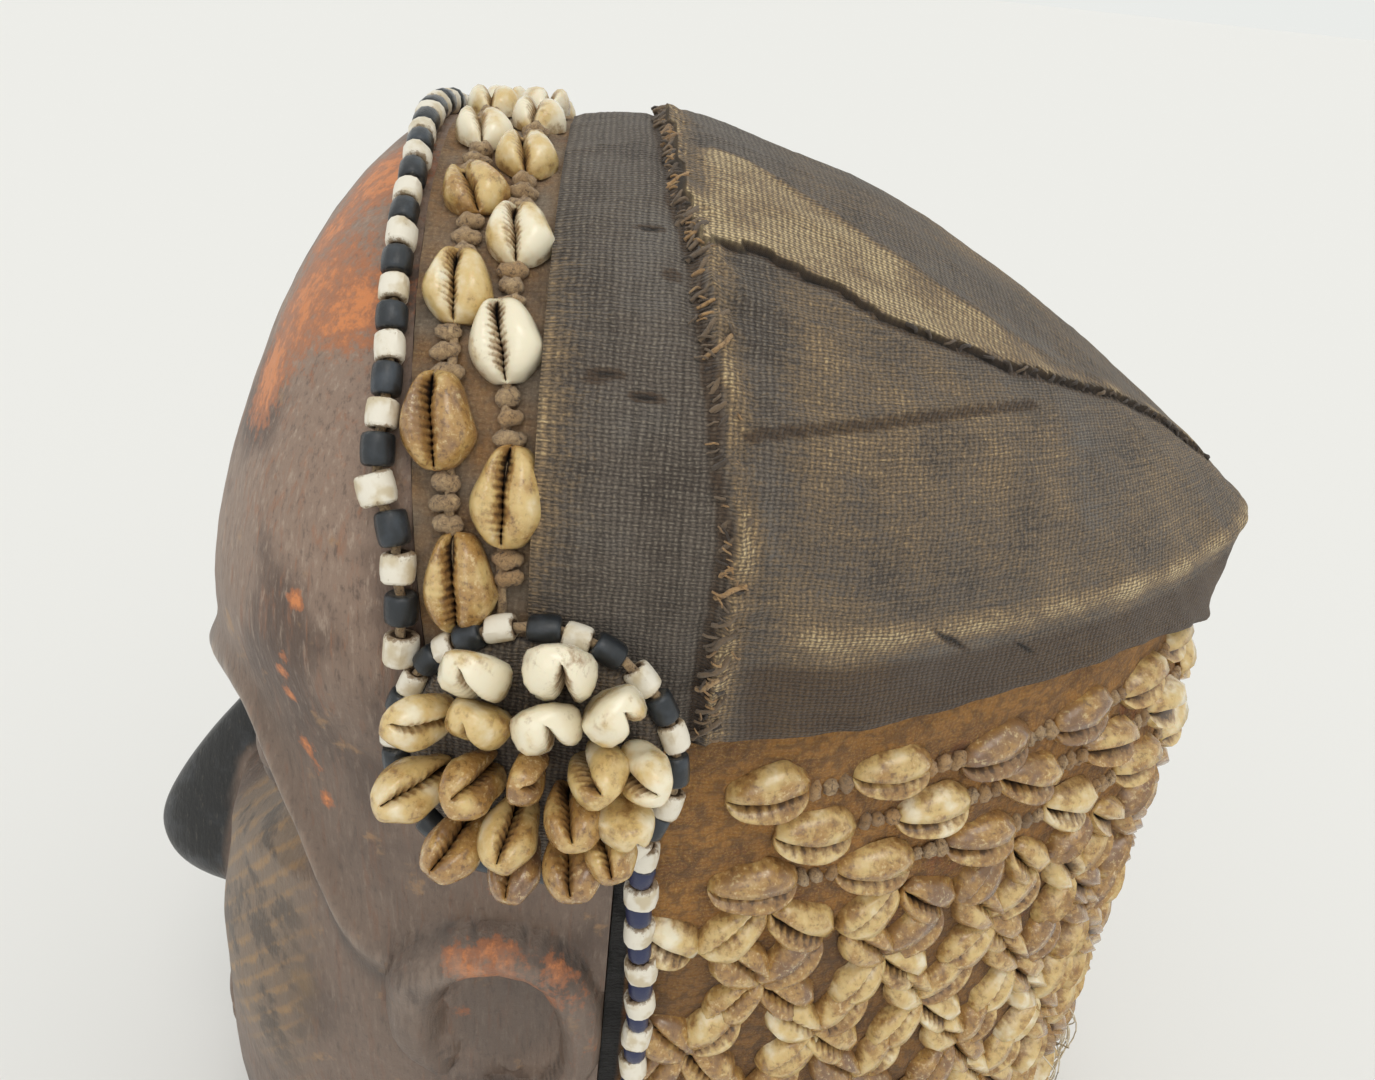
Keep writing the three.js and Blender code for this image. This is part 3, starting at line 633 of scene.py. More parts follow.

# %% Black paint, painted shade, stripes, and bare edges with painted highlight
nose_black = smooth((proud_nose - 1.5) / 3)
striped = smooth((past_brow - 6) / 10) * (1 - smooth((depth - 245) / 45)) * (1 - nose_black)
striped = striped * smooth((degrees - 14) / 10) * (1 - smooth((degrees - 50) / 14))
lid_over, lid_down = (x - EYE_AT[0]) / EYE_SIZE[0], (depth - EYE_AT[1]) / EYE_SIZE[1]
striped = striped * (1 - smooth(4 * oval(lid_over, lid_down)))
lids_line = lid_down - 2 * lid_over / EYE_SIZE[1] - 0.35 * (1 - lid_over**2)
# Black paint on the nose, then black painted shade under the brow's edge, where the closed lids meet, where
# the lips meet, in the ear's hollow and along the foot of its rim; the rim itself is made a little darker.
BLACK_PAINT_AND_SHADE = [
    nose_black,
    0.45 * bump(past_brow - 3, 5) * (1 - smooth((degrees - 72) / 12)),
    0.6 * bump(lids_line, 0.13) * smooth((1 - np.abs(lid_over)) / 0.15),
    0.5 * bump(depth - LIPS_PART, 1.7) * smooth((LIP_HALF - x) / 5) * (degrees < 60),
    0.32 * hollow * on_side * (rim < 3),
    0.14 * smooth(rim / 3) * on_side,
    0.55 * bump(rim - 1.8, 1.6) * on_side * (rim > 0),
]
black = np.maximum.reduce(BLACK_PAINT_AND_SHADE)
# Lighter rubbed places: the crest of the ear's rim and the brow's edge, which are wear and painted
# highlight, and the bottom rim, which is wear.
RUBBED_AND_HIGHLIT = [0.9 * smooth((rim - 6) / 2.5) * on_side, bump(past_brow + 5, 4) * (degrees < 75),
        0.7 * smooth((depth - CROWN + 6) / 5)]
rubbed_and_highlit = np.clip(np.maximum.reduce(RUBBED_AND_HIGHLIT), 0, 1)
wood_marks = {"pigment": pigment, "striped": striped, "black": black, "rubbed_and_highlit": rubbed_and_highlit}
print("marks on the wood:", ", ".join(wood_marks))

# %% [markdown]
# The wood is a soft, pale timber, darkened by smoke and handling. Its grain runs up the head, so the
# grain pattern is stretched along Z. A thin rubbed sheen lies on the high places, and the brow's edge and
# the crest of the ear are painted lighter as painted highlight along with wear. The low places under the
# brow, between the lids and lips and in the ear are painted black as painted shade, so the rubbed and
# the black places get a lower roughness than the dusty rest. Bare wood is rough and has no shine of
# its own, and the IOR of 1.5 is that of dried oil and soot.

# %% Patterns in the wood
carved_wood, tree = new_finish("carved_wood_darkened")
where = add_node(tree, "ShaderNodeTexCoord", out="Object")
grain_space = add_node(tree, "ShaderNodeMapping", {"Vector": where, "Scale": (1, 1, 0.12)})
fine_space = add_node(tree, "ShaderNodeMapping", {"Vector": where, "Scale": (1, 1, 0.22)})
WOOD_NOISES = {
    # name: coordinates, size in millimetres, detail, roughness, distortion
    "cloud": (where, 34, 4.0, 0.5, 0.0), "patch": (where, 15, 5.0, 0.65, 0.0),
    "grain": (grain_space, 2.2, 5.0, 0.6, 0.4), "fine": (fine_space, 1.5, 5.0, 0.7, 0.0),
    "speck": (where, 2.6, 6.0, 0.7, 0.0),
}
cloud, patch, grain, fine, speck = (
    add_node(tree, "ShaderNodeTexNoise", {"Vector": space, "Scale": per_mm(size), "Detail": detail,
                                          "Roughness": roughness, "Distortion": distortion})
    for space, size, detail, roughness, distortion in WOOD_NOISES.values())
read = {mark: add_node(tree, "ShaderNodeAttribute", out="Fac", attribute_name=mark) for mark in wood_marks}
print("noises in the wood:", ", ".join(WOOD_NOISES))

# %% Stripes and ragged pigment
STRIPES = 8.5  # millimetres from one ochre stripe to the next
ragged = uneven(tree, read["pigment"], [(speck, 1.5, 0.5), (cloud, 0.8, 0.5)])
across, back_from, up = (add_node(tree, "ShaderNodeSeparateXYZ", [where], axis) for axis in "XYZ")
across = add_node(tree, "ShaderNodeMath", [across], operation="ABSOLUTE")
slanted = up
for way, slope in ((back_from, -0.8), (across, -0.8), (patch, 0.01)):
    slanted = add_node(tree, "ShaderNodeMath", [way, slope, slanted], operation="MULTIPLY_ADD")
angle = add_node(tree, "ShaderNodeMath", [slanted, 2 * math.pi * per_mm(STRIPES)], operation="MULTIPLY")
stripe = add_node(tree, "ShaderNodeMath", [angle], operation="SINE")
stripe = uneven(tree, stripe, [(speck, 2.0, 0.5), (patch, 5.0, 0.52)])
print("stripes every", STRIPES, "mm")

# %% Carved wood
HEAD_TOP, BROW_TOP = 0.3, 0.235  # metres over the rim between which the forehead darkens downwards
brown = paint(tree, "#8f7868", [
    ("#5f4b3f", (cloud, 0.45, 0.64)),
    ("#96684c", (grain, 0.52, 0.7, 0.6)),
    ("#54433b", (speck, 0.55, 0.7, 0.5)),
    ("#b7a391", (fine, 0.52, 0.7, 0.5)),
    ("#463831", (fine, 0.47, 0.3, 0.55)),
    ("#584b42", (up, HEAD_TOP, BROW_TOP, 0.55)),
    ("#a9845c", (patch, 0.6, 0.7, 0.55)),
    ("#ac6b43", (ragged, 0.45, 0.75, 0.8)),
    ("#d4854e", (ragged, 0.75, 1.05, 0.9)),
    ("#7a6753", read["striped"], 0.7),
    ("#463b32", read["striped"], (patch, 0.5, 0.38, 0.75)),
    ("#a67f4c", read["striped"], (stripe, -0.1, 1.6, 0.6)),
    ("#b08a52", read["striped"], (cloud, 0.56, 0.68, 0.6)),
    # Rubbed places lighter in the grain: wear, and painted highlight on the brow's edge and the ear's crest.
    ("#a39080", read["rubbed_and_highlit"], (grain, 0.35, 0.6, 0.5)),
    # Black paint on the nose, and black painted shade under the brow, in the lid and lip creases and in the
    # ear.
    ("#191919", read["black"]),
    # Blue-grey patches and specks on the black: painted sheen, with scuffs.
    ("#484a4e", (read["black"], 0.6, 1.0), (patch, 0.47, 0.68, 0.5)),
    ("#6a6359", (read["black"], 0.6, 1.0), (fine, 0.56, 0.72, 0.35)),
])
shine = add_node(tree, "ShaderNodeMath", [read["black"], -0.12, 0.48], operation="MULTIPLY_ADD")
shine = add_node(tree, "ShaderNodeMath", [read["rubbed_and_highlit"], -0.15, shine], operation="MULTIPLY_ADD")
finish_with(tree, brown, shine, [(cloud, 0.8), (grain, 0.4), (fine, 0.3), (speck, 0.25)], IOR=1.5)
wood_uv = np.stack([degrees * side * 1.7, depth], axis=-1)
inner_uv = np.stack(np.broadcast_arrays(inner_turns * 150, inner_depth), axis=-1)
wooden_face = report(wall_piece("wooden_face_carved", outer, inner, carved_wood, wood_uv, inner_uv,
                                wood_marks, folded=True))

# %% [markdown]
# The cap is dark woven raffia in panels: a front panel, two big side panels and a narrow strip along
# the top, joined by rough sewn seams, with a stiff hoop inside that shows as a worn ridge. Such a shape
# could be draped by a cloth simulation, but this one is stretched tight over its hoop and hardly hangs.
# So its sections from front to back are drawn instead, with evenly spaced points, so that the weave
# is even too.

# %% Cap sections
CAP_END, CAP_HALF, CLOTH = 242.0, 105.0, 2.6
cap_crown = curve([[33, 1.6], [50, -1], [66, -1], [85, 3.5], [117, 13], [160, 35], [196, 58],
                   [224, 78], [242, 92]])
cap_hoop = curve([[33, 84], [80, 86], [103, 89], [149, 91], [197, 92], [242, 92]])
cap_hem = curve([[33, 113], [120, 115], [180, 113], [215, 119], [242, 131]])
cap_power = curve([[33, 2.03], [70, 2.0], [110, 1.85], [160, 1.65], [210, 1.45], [242, 1.3]])


def cap_row(y, inset, columns):
    """One section, from the right hem over the crown to the left hem: x, depth and arc length."""
    back_share = np.clip((y - 60) / (CAP_END - 60), 0, 1)
    half = max(0.0, CAP_HALF * (1 - back_share**1.5) ** (1 / 1.5) - inset)
    crown = float(cap_crown(y)) + inset
    hoop = max(float(cap_hoop(y)), crown)
    power = float(cap_power(y))
    a = np.linspace(0, math.pi / 2, 240)
    x = np.append(half * np.sin(a) ** (2 / power), half)
    depth = np.append(hoop + (crown - hoop) * np.cos(a) ** (2 / power), float(cap_hem(y)))
    length = travelled(np.stack([x, depth], axis=-1))
    even = np.linspace(0, length[-1], columns)
    x, depth = np.interp(even, length, x), np.interp(even, length, depth)
    return (np.concatenate([-x[:0:-1], x]), np.concatenate([depth[:0:-1], depth]),
            np.concatenate([-even[:0:-1], even]))


def cap_grid(ys, inset, columns):
    sections = [cap_row(y, inset, columns) for y in ys]
    x, depth, length = (np.array([section[k] for section in sections]) for k in range(3))
    return x, np.broadcast_to(np.array(ys)[:, None], x.shape), depth, length


steps = np.linspace(0, 1, 150)
cap_ys = CAP_FRONT + (CAP_END - CAP_FRONT) * (1 - (1 - steps) ** 1.25)
x, y, depth, length = cap_grid(cap_ys, 0, 122)
print("cap grid", x.shape, "widest arc", round(float(length.max()), 1), "mm")

# %% [markdown]
# The seams run over the cap as paths in space. Every grid point knows its distance to each seam, and
# so the sewn ridges, the overlapping fold beside the top strip and the worn hoop are all raised there.
# Both sides have the same seams, as the two halves of such a cap are cut alike.

# %% Seams of the cap
FRONT_SEAM = [(0.4, 55.2, -1), (28, 56.5, 2.4), (49.3, 58.7, 9.3), (63, 62.7, 16.4), (78.5, 65.5, 28.6),
              (87.7, 68.2, 39.9), (95.2, 69.6, 51.8), (100, 72.7, 64.9), (103.5, 72, 79),
              (104, 71.3, 92.1), (104, 70.8, 113)]
TOP_FOLD = [(62.5, 63, 15.9), (58.5, 75, 16.6), (59.8, 86.6, 21), (58.8, 94, 23.6), (59.7, 106, 29),
            (56.9, 117, 33), (51.6, 132, 38), (49.2, 140, 41), (41.5, 154, 45.7), (26.7, 178, 54),
            (13.3, 201.5, 65), (6, 225, 80)]
TOP_CREASE = [(26.6, 63, 2), (25.7, 73, 3.6), (31.6, 87, 9), (38.6, 104, 16.6), (40.3, 122, 26),
              (39, 139.5, 35), (32.3, 159.6, 44), (24.4, 179, 53)]
SIDE_SEAM = [(91, 71, 45), (86, 85, 44.7), (79, 101, 45), (70, 118.6, 45), (50, 149, 48)]
LOW_SEAM = [(102, 75.5, 78), (99.4, 88, 79), (94.5, 107, 83)]
cap_places = np.stack([np.abs(x), y, depth], axis=-1)


def seam(path, way):
    """Signed distance to a seam, positive on the side that way points to, how far along, and whether
    the place is beside it, which fades at its ends."""
    far, along, spot = nearest_on_path(cap_places, path)
    sign = np.where((cap_places - spot) @ np.array(way, float) >= 0, 1, -1)
    return far * sign, along, smooth(along / 0.03) * smooth((1 - along) / 0.06)


front_seam, front_along, _ = seam(FRONT_SEAM, (0, 1, 0))
fold, _, fold_on = seam(TOP_FOLD, (0.6, 0.3, 0.9))
crease, _, crease_on = seam(TOP_CREASE, (0.6, 0.2, 0.9))
side_seam, _, side_on = seam(SIDE_SEAM, (0, 0, 1))
low_seam, _, low_on = seam(LOW_SEAM, (0, 0, 1))
under_hoop = depth - cap_hoop(y)
over_hem = cap_hem(y) - depth
on_skirt = depth > 60
print("the front seam is", round(float(travelled(np.array(FRONT_SEAM))[-1])), "mm long on each side")

# %% Relief of the seams
cloth_mm = np.stack([y, length], axis=-1)
pucker = noise(np.stack([front_along * 160, np.abs(front_seam) / 3], axis=-1), 2.6, 11)
frayed = smooth((front_seam + 1.4) / 1.2) * bump(np.maximum(front_seam, 0), 6.5)
behind_seam = smooth((front_seam + 0.8) / 1.2) * np.exp(-np.maximum(front_seam, 0) / 10)
height = 1.2 * bump(front_seam, 2.2) * (1 + 0.7 * pucker) + 1.3 * behind_seam
height += frayed * (0.9 * noise(cloth_mm, 3.0, 18) + 0.6 * noise(cloth_mm, 1.7, 19))
height -= 0.9 * bump(front_seam + 3.2, 1.6)
height += 1.1 * smooth((0.6 - fold) / 1.2) * bump(np.minimum(fold, 0), 5) * fold_on
height -= 0.45 * bump(fold - 1.2, 1.1) * fold_on
height -= 0.8 * np.exp(-(y - CAP_FRONT) / 2.2)
height += 0.7 * bump(crease, 1.6) * crease_on
height += (1.1 * bump(side_seam, 1.5) - 0.8 * bump(side_seam - 2.4, 1.3)) * side_on
height += 0.7 * bump(low_seam, 1.4) * low_on
height += 0.9 * bump(under_hoop, 3.2) * smooth((y - 74) / 8)
print("seams from", round(float(height.min()), 1), "to", round(float(height.max()), 1), "mm")

# %% Folds and tears of the cap
gathers = (1 - np.abs(noise(cloth_mm * (0.22, 1), 5.5, 12))) ** 4
near_seams = 0.35 + 0.65 * bump(side_seam, 13) + 0.5 * bump(fold - 9, 9)
height += 0.9 * gathers * near_seams * smooth((y - 60) / 8) * smooth((135 - y) / 50)
front_folds = (1 - np.abs(noise(cloth_mm * (0.3, 1), 8, 10))) ** 6
height += 0.55 * front_folds * smooth((58 - y) / 8)
height += 0.6 * noise(cloth_mm * (0.4, 1), 11, 12) * smooth((y - 70) / 20)
height += 0.55 * noise(cloth_mm, 26, 13) + 0.25 * noise(cloth_mm * (0.35, 1), 4.5, 14)
height += 0.12 * noise(cloth_mm, 2.4, 15)
height += 0.7 * bump(over_hem - 2, 1.8)
height += 0.8 * noise(cloth_mm, 9, 16) * np.exp(-over_hem / 7) * on_skirt
height *= smooth((CAP_END - y) / 4)
TEARS = [(52, 62, 3.0), (44, 98, 4.5), (53, 102, 3.5), (150, 118, 4.0), (127, 128, 6.0), (57, 75, 2.5)]
torn = np.zeros(x.shape)
for tear_y, tear_along, tear_half in TEARS:
    from_tear = np.hypot((y - tear_y) / tear_half, (np.abs(length) - tear_along) / 0.9)
    torn = np.maximum(torn, smooth(1.4 - from_tear))
    height -= 0.7 * smooth(1.3 - from_tear)
print("cap relief from", round(float(height.min()), 1), "to", round(float(height.max()), 1), "mm")

# %% Wear and shadow on the cap
strip = smooth((crease + 1) / 3) * (1 - smooth((fold + 1) / 1.5)) * smooth((185 - y) / 45)
rough = np.clip(0.5 + 0.6 * noise(cloth_mm, 9, 17) + 0.3 * noise(cloth_mm * (0.4, 1), 3, 8), 0, 1)
wide_rough = np.clip(0.5 + 0.7 * noise(cloth_mm * (0.5, 1), 24, 9), 0, 1)
mostly_rough = 0.4 + 0.6 * rough
WORN = [
    strip * smooth((y - 58) / 8) * (0.6 + 0.35 * rough + 0.4 * wide_rough),
    frayed * (0.55 + 0.6 * rough),
    1.15 * bump(under_hoop - 0.5, 5.5) * smooth((y - 74) / 20) * (0.55 + 0.45 * rough),
    0.75 * bump(side_seam + 1, 2.5) * side_on * rough,
    bump(fold + 2, 3) * fold_on * mostly_rough,
    0.85 * smooth((y - 226) / 14) * mostly_rough,
    (0.3 + 0.42 * wide_rough) * smooth((y - 68) / 22) * (0.6 + 0.4 * rough)
    * (1 - 0.2 * smooth((under_hoop - 3) / 6)),
    0.45 * bump(over_hem - 1, 2) * on_skirt * rough,
    0.95 * np.exp(-(y - CAP_FRONT) / 6) * smooth((depth - 6) / 24) * (0.5 + 0.5 * rough),
]
SHADOW = [
    0.85 * bump(fold - 0.9, 0.75) * fold_on,
    0.75 * bump(front_seam + 2.4, 1.3) * mostly_rough,
    0.7 * bump(side_seam - 1.8, 0.8) * side_on,
    0.34 * smooth((under_hoop - 4) / 7) * smooth((y - 72) / 12),
    torn,
]
worn = np.maximum.reduce(WORN)
shadow = np.clip(np.maximum.reduce(SHADOW), 0, 1)
print("worn to gold over", round(100 * float((worn > 0.6).mean())), "% of the cap")

# %% [markdown]
# The weave is drawn in the UV map, which is in millimetres. The cap has one thread every 1.4 mm front
# to back and every 0.88 mm along the arch, and the raffia of the headband and neck is coarser. Threads
# go over and under in turn, which a product of two sine waves gives. The same height darkens the gaps
# between threads, which is painted shade with some soiling, and lights the tops of the threads on the
# cap, which is painted light with some wear. Raffia is a dry leaf fibre, so the cloth is nearly matt,
# with the faint sheen that loose fibre ends give.

# %% Woven cloth
def woven(tree, pitches, sway):
    """Height of a plain weave, 0 in the gaps and 1 on a thread, streaks along both ways of thread, and
    the flat coordinates."""
    flat = add_node(tree, "ShaderNodeUVMap", out="UV", uv_map="UVMap")
    drift = add_node(tree, "ShaderNodeTexNoise", {"Vector": flat, "Scale": 1 / 9, "Detail": 2.0}, "Color")
    shift = add_node(tree, "ShaderNodeVectorMath", [drift, (0.5, 0.5, 0.5)], operation="SUBTRACT")
    moved = add_node(tree, "ShaderNodeVectorMath", [shift, (sway, sway, 0), flat],
                     operation="MULTIPLY_ADD")
    waves, streaks, tops = [], [], []
    stretches = ((1 / pitches[0], 1 / 26, 1), (1 / 26, 1 / pitches[1], 1))
    for axis, pitch, stretch in zip("XY", pitches, stretches):
        run = add_node(tree, "ShaderNodeSeparateXYZ", [moved], axis)
        angle = add_node(tree, "ShaderNodeMath", [run, math.pi / pitch], operation="MULTIPLY")
        waves.append(add_node(tree, "ShaderNodeMath", [angle], operation="SINE"))
        along = add_node(tree, "ShaderNodeMapping", {"Vector": flat, "Scale": stretch})
        streaks.append(add_node(tree, "ShaderNodeTexNoise", {"Vector": along, "Scale": 0.9, "Detail": 3.0}))
    turn = add_node(tree, "ShaderNodeMath", list(waves), operation="MULTIPLY")
    for wave, share in zip(waves, (0.42, -0.42)):
        level = add_node(tree, "ShaderNodeMath", [turn, share, 0.58], operation="MULTIPLY_ADD")
        ridge = add_node(tree, "ShaderNodeMath", [wave], operation="ABSOLUTE")
        tops.append(add_node(tree, "ShaderNodeMath", [ridge, level], operation="MULTIPLY"))
    return add_node(tree, "ShaderNodeMath", tops, operation="MAXIMUM"), streaks, flat


dark_cloth, tree = new_finish("raffia_cloth_dark")
threads, streaks, flat = woven(tree, (1.4, 0.88), 1.8)
cloud = add_node(tree, "ShaderNodeTexNoise", {"Vector": flat, "Scale": 1 / 22, "Detail": 4.0})
grit = add_node(tree, "ShaderNodeTexNoise", {"Vector": flat, "Scale": 1 / 1.3, "Detail": 5.0,
                                             "Roughness": 0.75})
worn_mark = add_node(tree, "ShaderNodeAttribute", out="Fac", attribute_name="worn")
shadow_mark = add_node(tree, "ShaderNodeAttribute", out="Fac", attribute_name="shadow")
gold = uneven(tree, worn_mark, [(grit, 1.7, 0.5), (streaks[1], 0.6, 0.5)])
cloth = paint(tree, "#61574e", [
    ("#40362e", (cloud, 0.5, 0.36, 0.6)),
    ("#716a63", (cloud, 0.52, 0.7, 0.8)),
    ("#7b7267", (streaks[1], 0.5, 0.7, 0.45)),
    ("#3b322a", (streaks[0], 0.5, 0.7, 0.5)),
    # Lighter thread tops: painted light, with some wear.
    ("#948a7b", (threads, 0.5, 0.95), (grit, 0.4, 0.62, 0.75)),
    ("#7d6a53", (gold, 0.2, 0.55, 0.8)),
    ("#a98d66", (gold, 0.45, 0.85, 0.85), (threads, 0.5, 0.95, 1.35, 0.35)),
    ("#dcc598", (gold, 0.7, 1.15, 0.95), (threads, 0.5, 0.95, 1.3, 0.3)),
    ("#48331f", (shadow_mark, 0.05, 0.32, 0.66)),
    # Darker gaps between the threads: painted shade, with some soiling.
    ("#241f1b", (threads, 0.55, 0.15, 0.62)),
    ("#1b1816", (shadow_mark, 0.33, 0.95, 0.85)),
])
finish_with(tree, cloth, 0.82, [(cloud, 0.5), (streaks[1], 0.3), (threads, 0.5), (grit, 0.4)],
            **{"Sheen Weight": 0.12, "Sheen Roughness": 0.5, "IOR": 1.4})
print("dark cloth has", len(tree.nodes), "nodes")

# %% [markdown]
# The cap's front edge is tucked down onto the headband, as a hem is pulled tight over the band under
# it, so one more row of points closes the gap there. The threads on top of the head run along the
# strip, and those of the side panels start at the hoop, so each has its own place in the UV map.

# %% Cap piece
hoop_along = length.max(axis=1, keepdims=True) - (cap_hem(y) - np.maximum(cap_hoop(y), cap_crown(y)))
over_top = (fold < 0) & (front_seam > 0) & (y < 222)
threads_run = np.where(over_top, np.abs(length) + 0.12 * y, np.abs(length) - hoop_along + 400)
inner_x, inner_y, inner_depth, inner_length = cap_grid(
    np.array([CAP_FRONT, 62, 94, 126, 158, 190, 216, 234]), CLOTH, 16)
cap_points = raised(place(x, y - 1.5 * np.exp(-(y - CAP_FRONT) / 2), depth), height)
tucked_along = length[0] / length[0].max() * (arch_length[-1] + cap_hem(CAP_FRONT) - ARCH_RISE)
tucked_x, tucked_depth, _, _ = on_arch(tucked_along, -BAND_DROP - 0.5)
cap_points = np.concatenate([place(tucked_x, CAP_FRONT - 0.7, tucked_depth)[None], cap_points])
cap_uv = np.stack([y, threads_run], axis=-1)
cap_uv = np.concatenate([cap_uv[:1] - (4, 0), cap_uv])
cap_marks = {"worn": np.concatenate([0 * worn[:1], worn]),
             "shadow": np.concatenate([0 * shadow[:1] + 0.6, shadow])}
cap_cloth = report(wall_piece(
    "cap_cloth_woven", cap_points, place(inner_x, inner_y, inner_depth), dark_cloth,
    cap_uv, np.stack([inner_y, inner_length], axis=-1), cap_marks))

# %% [markdown]
# The headband is a narrower strip of the same kind of cloth, fuzzy and full of grey dust, and the neck
# is coarse golden raffia. Both get the same treatment as the cap: an even grid, unevenness that is
# really in the mesh, and a weave in the UV map that is mostly buried under fuzz. One material does for
# both, with a mark that says how golden the cloth is, and over 1 how dark it is with painted shade.

# %% Headband and neck shapes
BAND_FRONT, BAND_BACK, BAND_END, BAND_THICK = 3.9, 33.0, 97.0, 3.0
NECK_FRONT, NECK_TOP = 54.4, 108.0


def band_grid(across, count, drop):
    reach = np.interp(BAND_END, arch_depth, arch_length)
    along = np.linspace(-1, 1, count) * reach
    x, depth, _, _ = on_arch(along, -drop)
    t, x = np.meshgrid(across, x, indexing="ij")
    depth = np.broadcast_to(depth, x.shape)
    y = mix(bead_y(depth) + BAND_FRONT, BAND_BACK, t)
    return x, y, depth, np.broadcast_to(along, x.shape)


def neck_grid(depths, turns, inset):
    depth, turn = np.meshgrid(depths, turns, indexing="ij")
    half = side_below(depth) - 2.5 - inset
    reach = mix(176.6, 186.6, smooth((depth - 131) / 29)) - inset
    power = mix(1.6, 1.9, smooth((depth - 160) / 215))
    angle = np.abs(turn) * math.pi / 2
    x = half * np.sin(angle) ** (2 / power) * np.sign(turn)
    y = NECK_FRONT + reach * np.cos(angle) ** (2 / power)
    around = np.hypot(np.diff(x, axis=1), np.diff(y, axis=1)).cumsum(axis=1)
    return x, y, depth, np.pad(around, ((0, 0), (1, 0)))


girth_turns = np.linspace(1, -1, 721)
girth = float(neck_grid(np.array([200.0]), girth_turns, 0)[3].max())
print("the neck cloth is", round(girth), "mm long round the neck")

# %% Raffia cloth
raffia_cloth, tree = new_finish("raffia_cloth_fuzzy")
threads, streaks, flat = woven(tree, (1.5, 1.3), 2.2)
cloud = add_node(tree, "ShaderNodeTexNoise", {"Vector": flat, "Scale": 1 / 14, "Detail": 5.0})
fuzz = add_node(tree, "ShaderNodeTexNoise", {"Vector": flat, "Scale": 1 / 0.8, "Detail": 6.0,
                                             "Roughness": 0.8})
clump = add_node(tree, "ShaderNodeTexVoronoi", {"Vector": flat, "Scale": 1 / 2.4, "Randomness": 1.0},
                 feature="F1")
golden_and_shade = add_node(tree, "ShaderNodeAttribute", out="Fac", attribute_name="golden_and_shade")
# The gaps between threads are darkened: painted shade, with some soiling.
gaps = add_node(tree, "ShaderNodeMath", [threads, -0.4, 0.26], operation="MULTIPLY_ADD")
dusty_ground = paint(tree, "#978570", [
    ("#c0ae95", (fuzz, 0.45, 0.7, 0.8)),
    ("#6d5c48", (cloud, 0.48, 0.7, 0.7)),
])
straw = paint(tree, "#b47a30", [
    ("#8f5f28", (cloud, 0.42, 0.62)),
    ("#d2a45a", (fuzz, 0.47, 0.66, 0.9)),
    ("#ad5f2c", (cloud, 0.6, 0.72, 0.5)),
    ("#5f4122", (clump, 0.45, 0.8, 0.5)),
])
cloth = paint(tree, dusty_ground, [
    (straw, golden_and_shade),
    ("#47331f", gaps),
    # Where the mark is over 1, the ground is darkened: painted shade under the net of shells and along the
    # join under the wood.
    ("#15110e", (golden_and_shade, 1.15, 1.6)),
])
finish_with(tree, cloth, 0.92, [(clump, 0.6), (threads, 0.2), (fuzz, 1.0)],
            **{"Sheen Weight": 0.14, "Sheen Roughness": 0.6, "IOR": 1.4})
print("raffia cloth has", len(tree.nodes), "nodes")

# %% Headband piece
x, y, depth, length = band_grid(np.linspace(0, 1, 27), 260, BAND_DROP)
flat_mm = np.stack([y, length], axis=-1)
height = 0.5 * noise(flat_mm, 6, 21) + 0.4 * noise(flat_mm, 2.8, 22) + 0.25 * noise(flat_mm, 1.6, 23)
dusty = np.clip(0.3 + 0.4 * noise(flat_mm, 7, 27), 0, 1)
inner_x, inner_y, inner_depth, inner_length = band_grid(np.array([0.0, 1.0]), 40, BAND_DROP + BAND_THICK)
headband = report(wall_piece(
    "headband_cloth_woven", raised(place(x, y, depth), height), place(inner_x, inner_y, inner_depth),
    raffia_cloth, flat_mm, np.stack([inner_y, inner_length], axis=-1), {"golden_and_shade": dusty}))

# %% Neck piece
x, y, depth, around = neck_grid(np.linspace(NECK_TOP, CROWN, 128), np.linspace(1, -1, 230), 0)
flat_mm = np.stack([around, depth], axis=-1)
height = 0.9 * noise(flat_mm, 12, 24) + 0.6 * noise(flat_mm, 5, 25) + 0.35 * noise(flat_mm, 2.6, 26)
height *= smooth((depth - NECK_TOP) / 6)
# Painted shade: the neck cloth is darkened where it runs under the wood and under the net of shells.
beside_wood, under_net = 1 - smooth((y - NECK_FRONT - 3) / 3.5), smooth((depth - 182) / 14)
painted_shade = np.maximum(0.9 * beside_wood, 0.33 * under_net)
inner_x, inner_y, inner_depth, inner_around = neck_grid(
    np.array([NECK_TOP, 131, 160, 230, 305, CROWN]), np.linspace(1, -1, 33), CLOTH)
neck_cloth = report(wall_piece(
    "neck_cloth_woven", raised(place(x, y, depth), height), place(inner_x, inner_y, inner_depth),
    raffia_cloth, flat_mm, np.stack([inner_around, inner_depth], axis=-1), {"golden_and_shade": 1 + painted_shade}))

# %% [markdown]
# Shells, beads, knots and stitches are small shapes repeated many times, so one Geometry Nodes tree
# sews them all on. Each point of a plain mesh carries where a copy goes, which way it lies and faces,
# its size and which of the shapes it is. The tree puts a copy on each point, turns it, adds a slight
# random tilt from a fixed seed, makes the copies real and gives them their material.

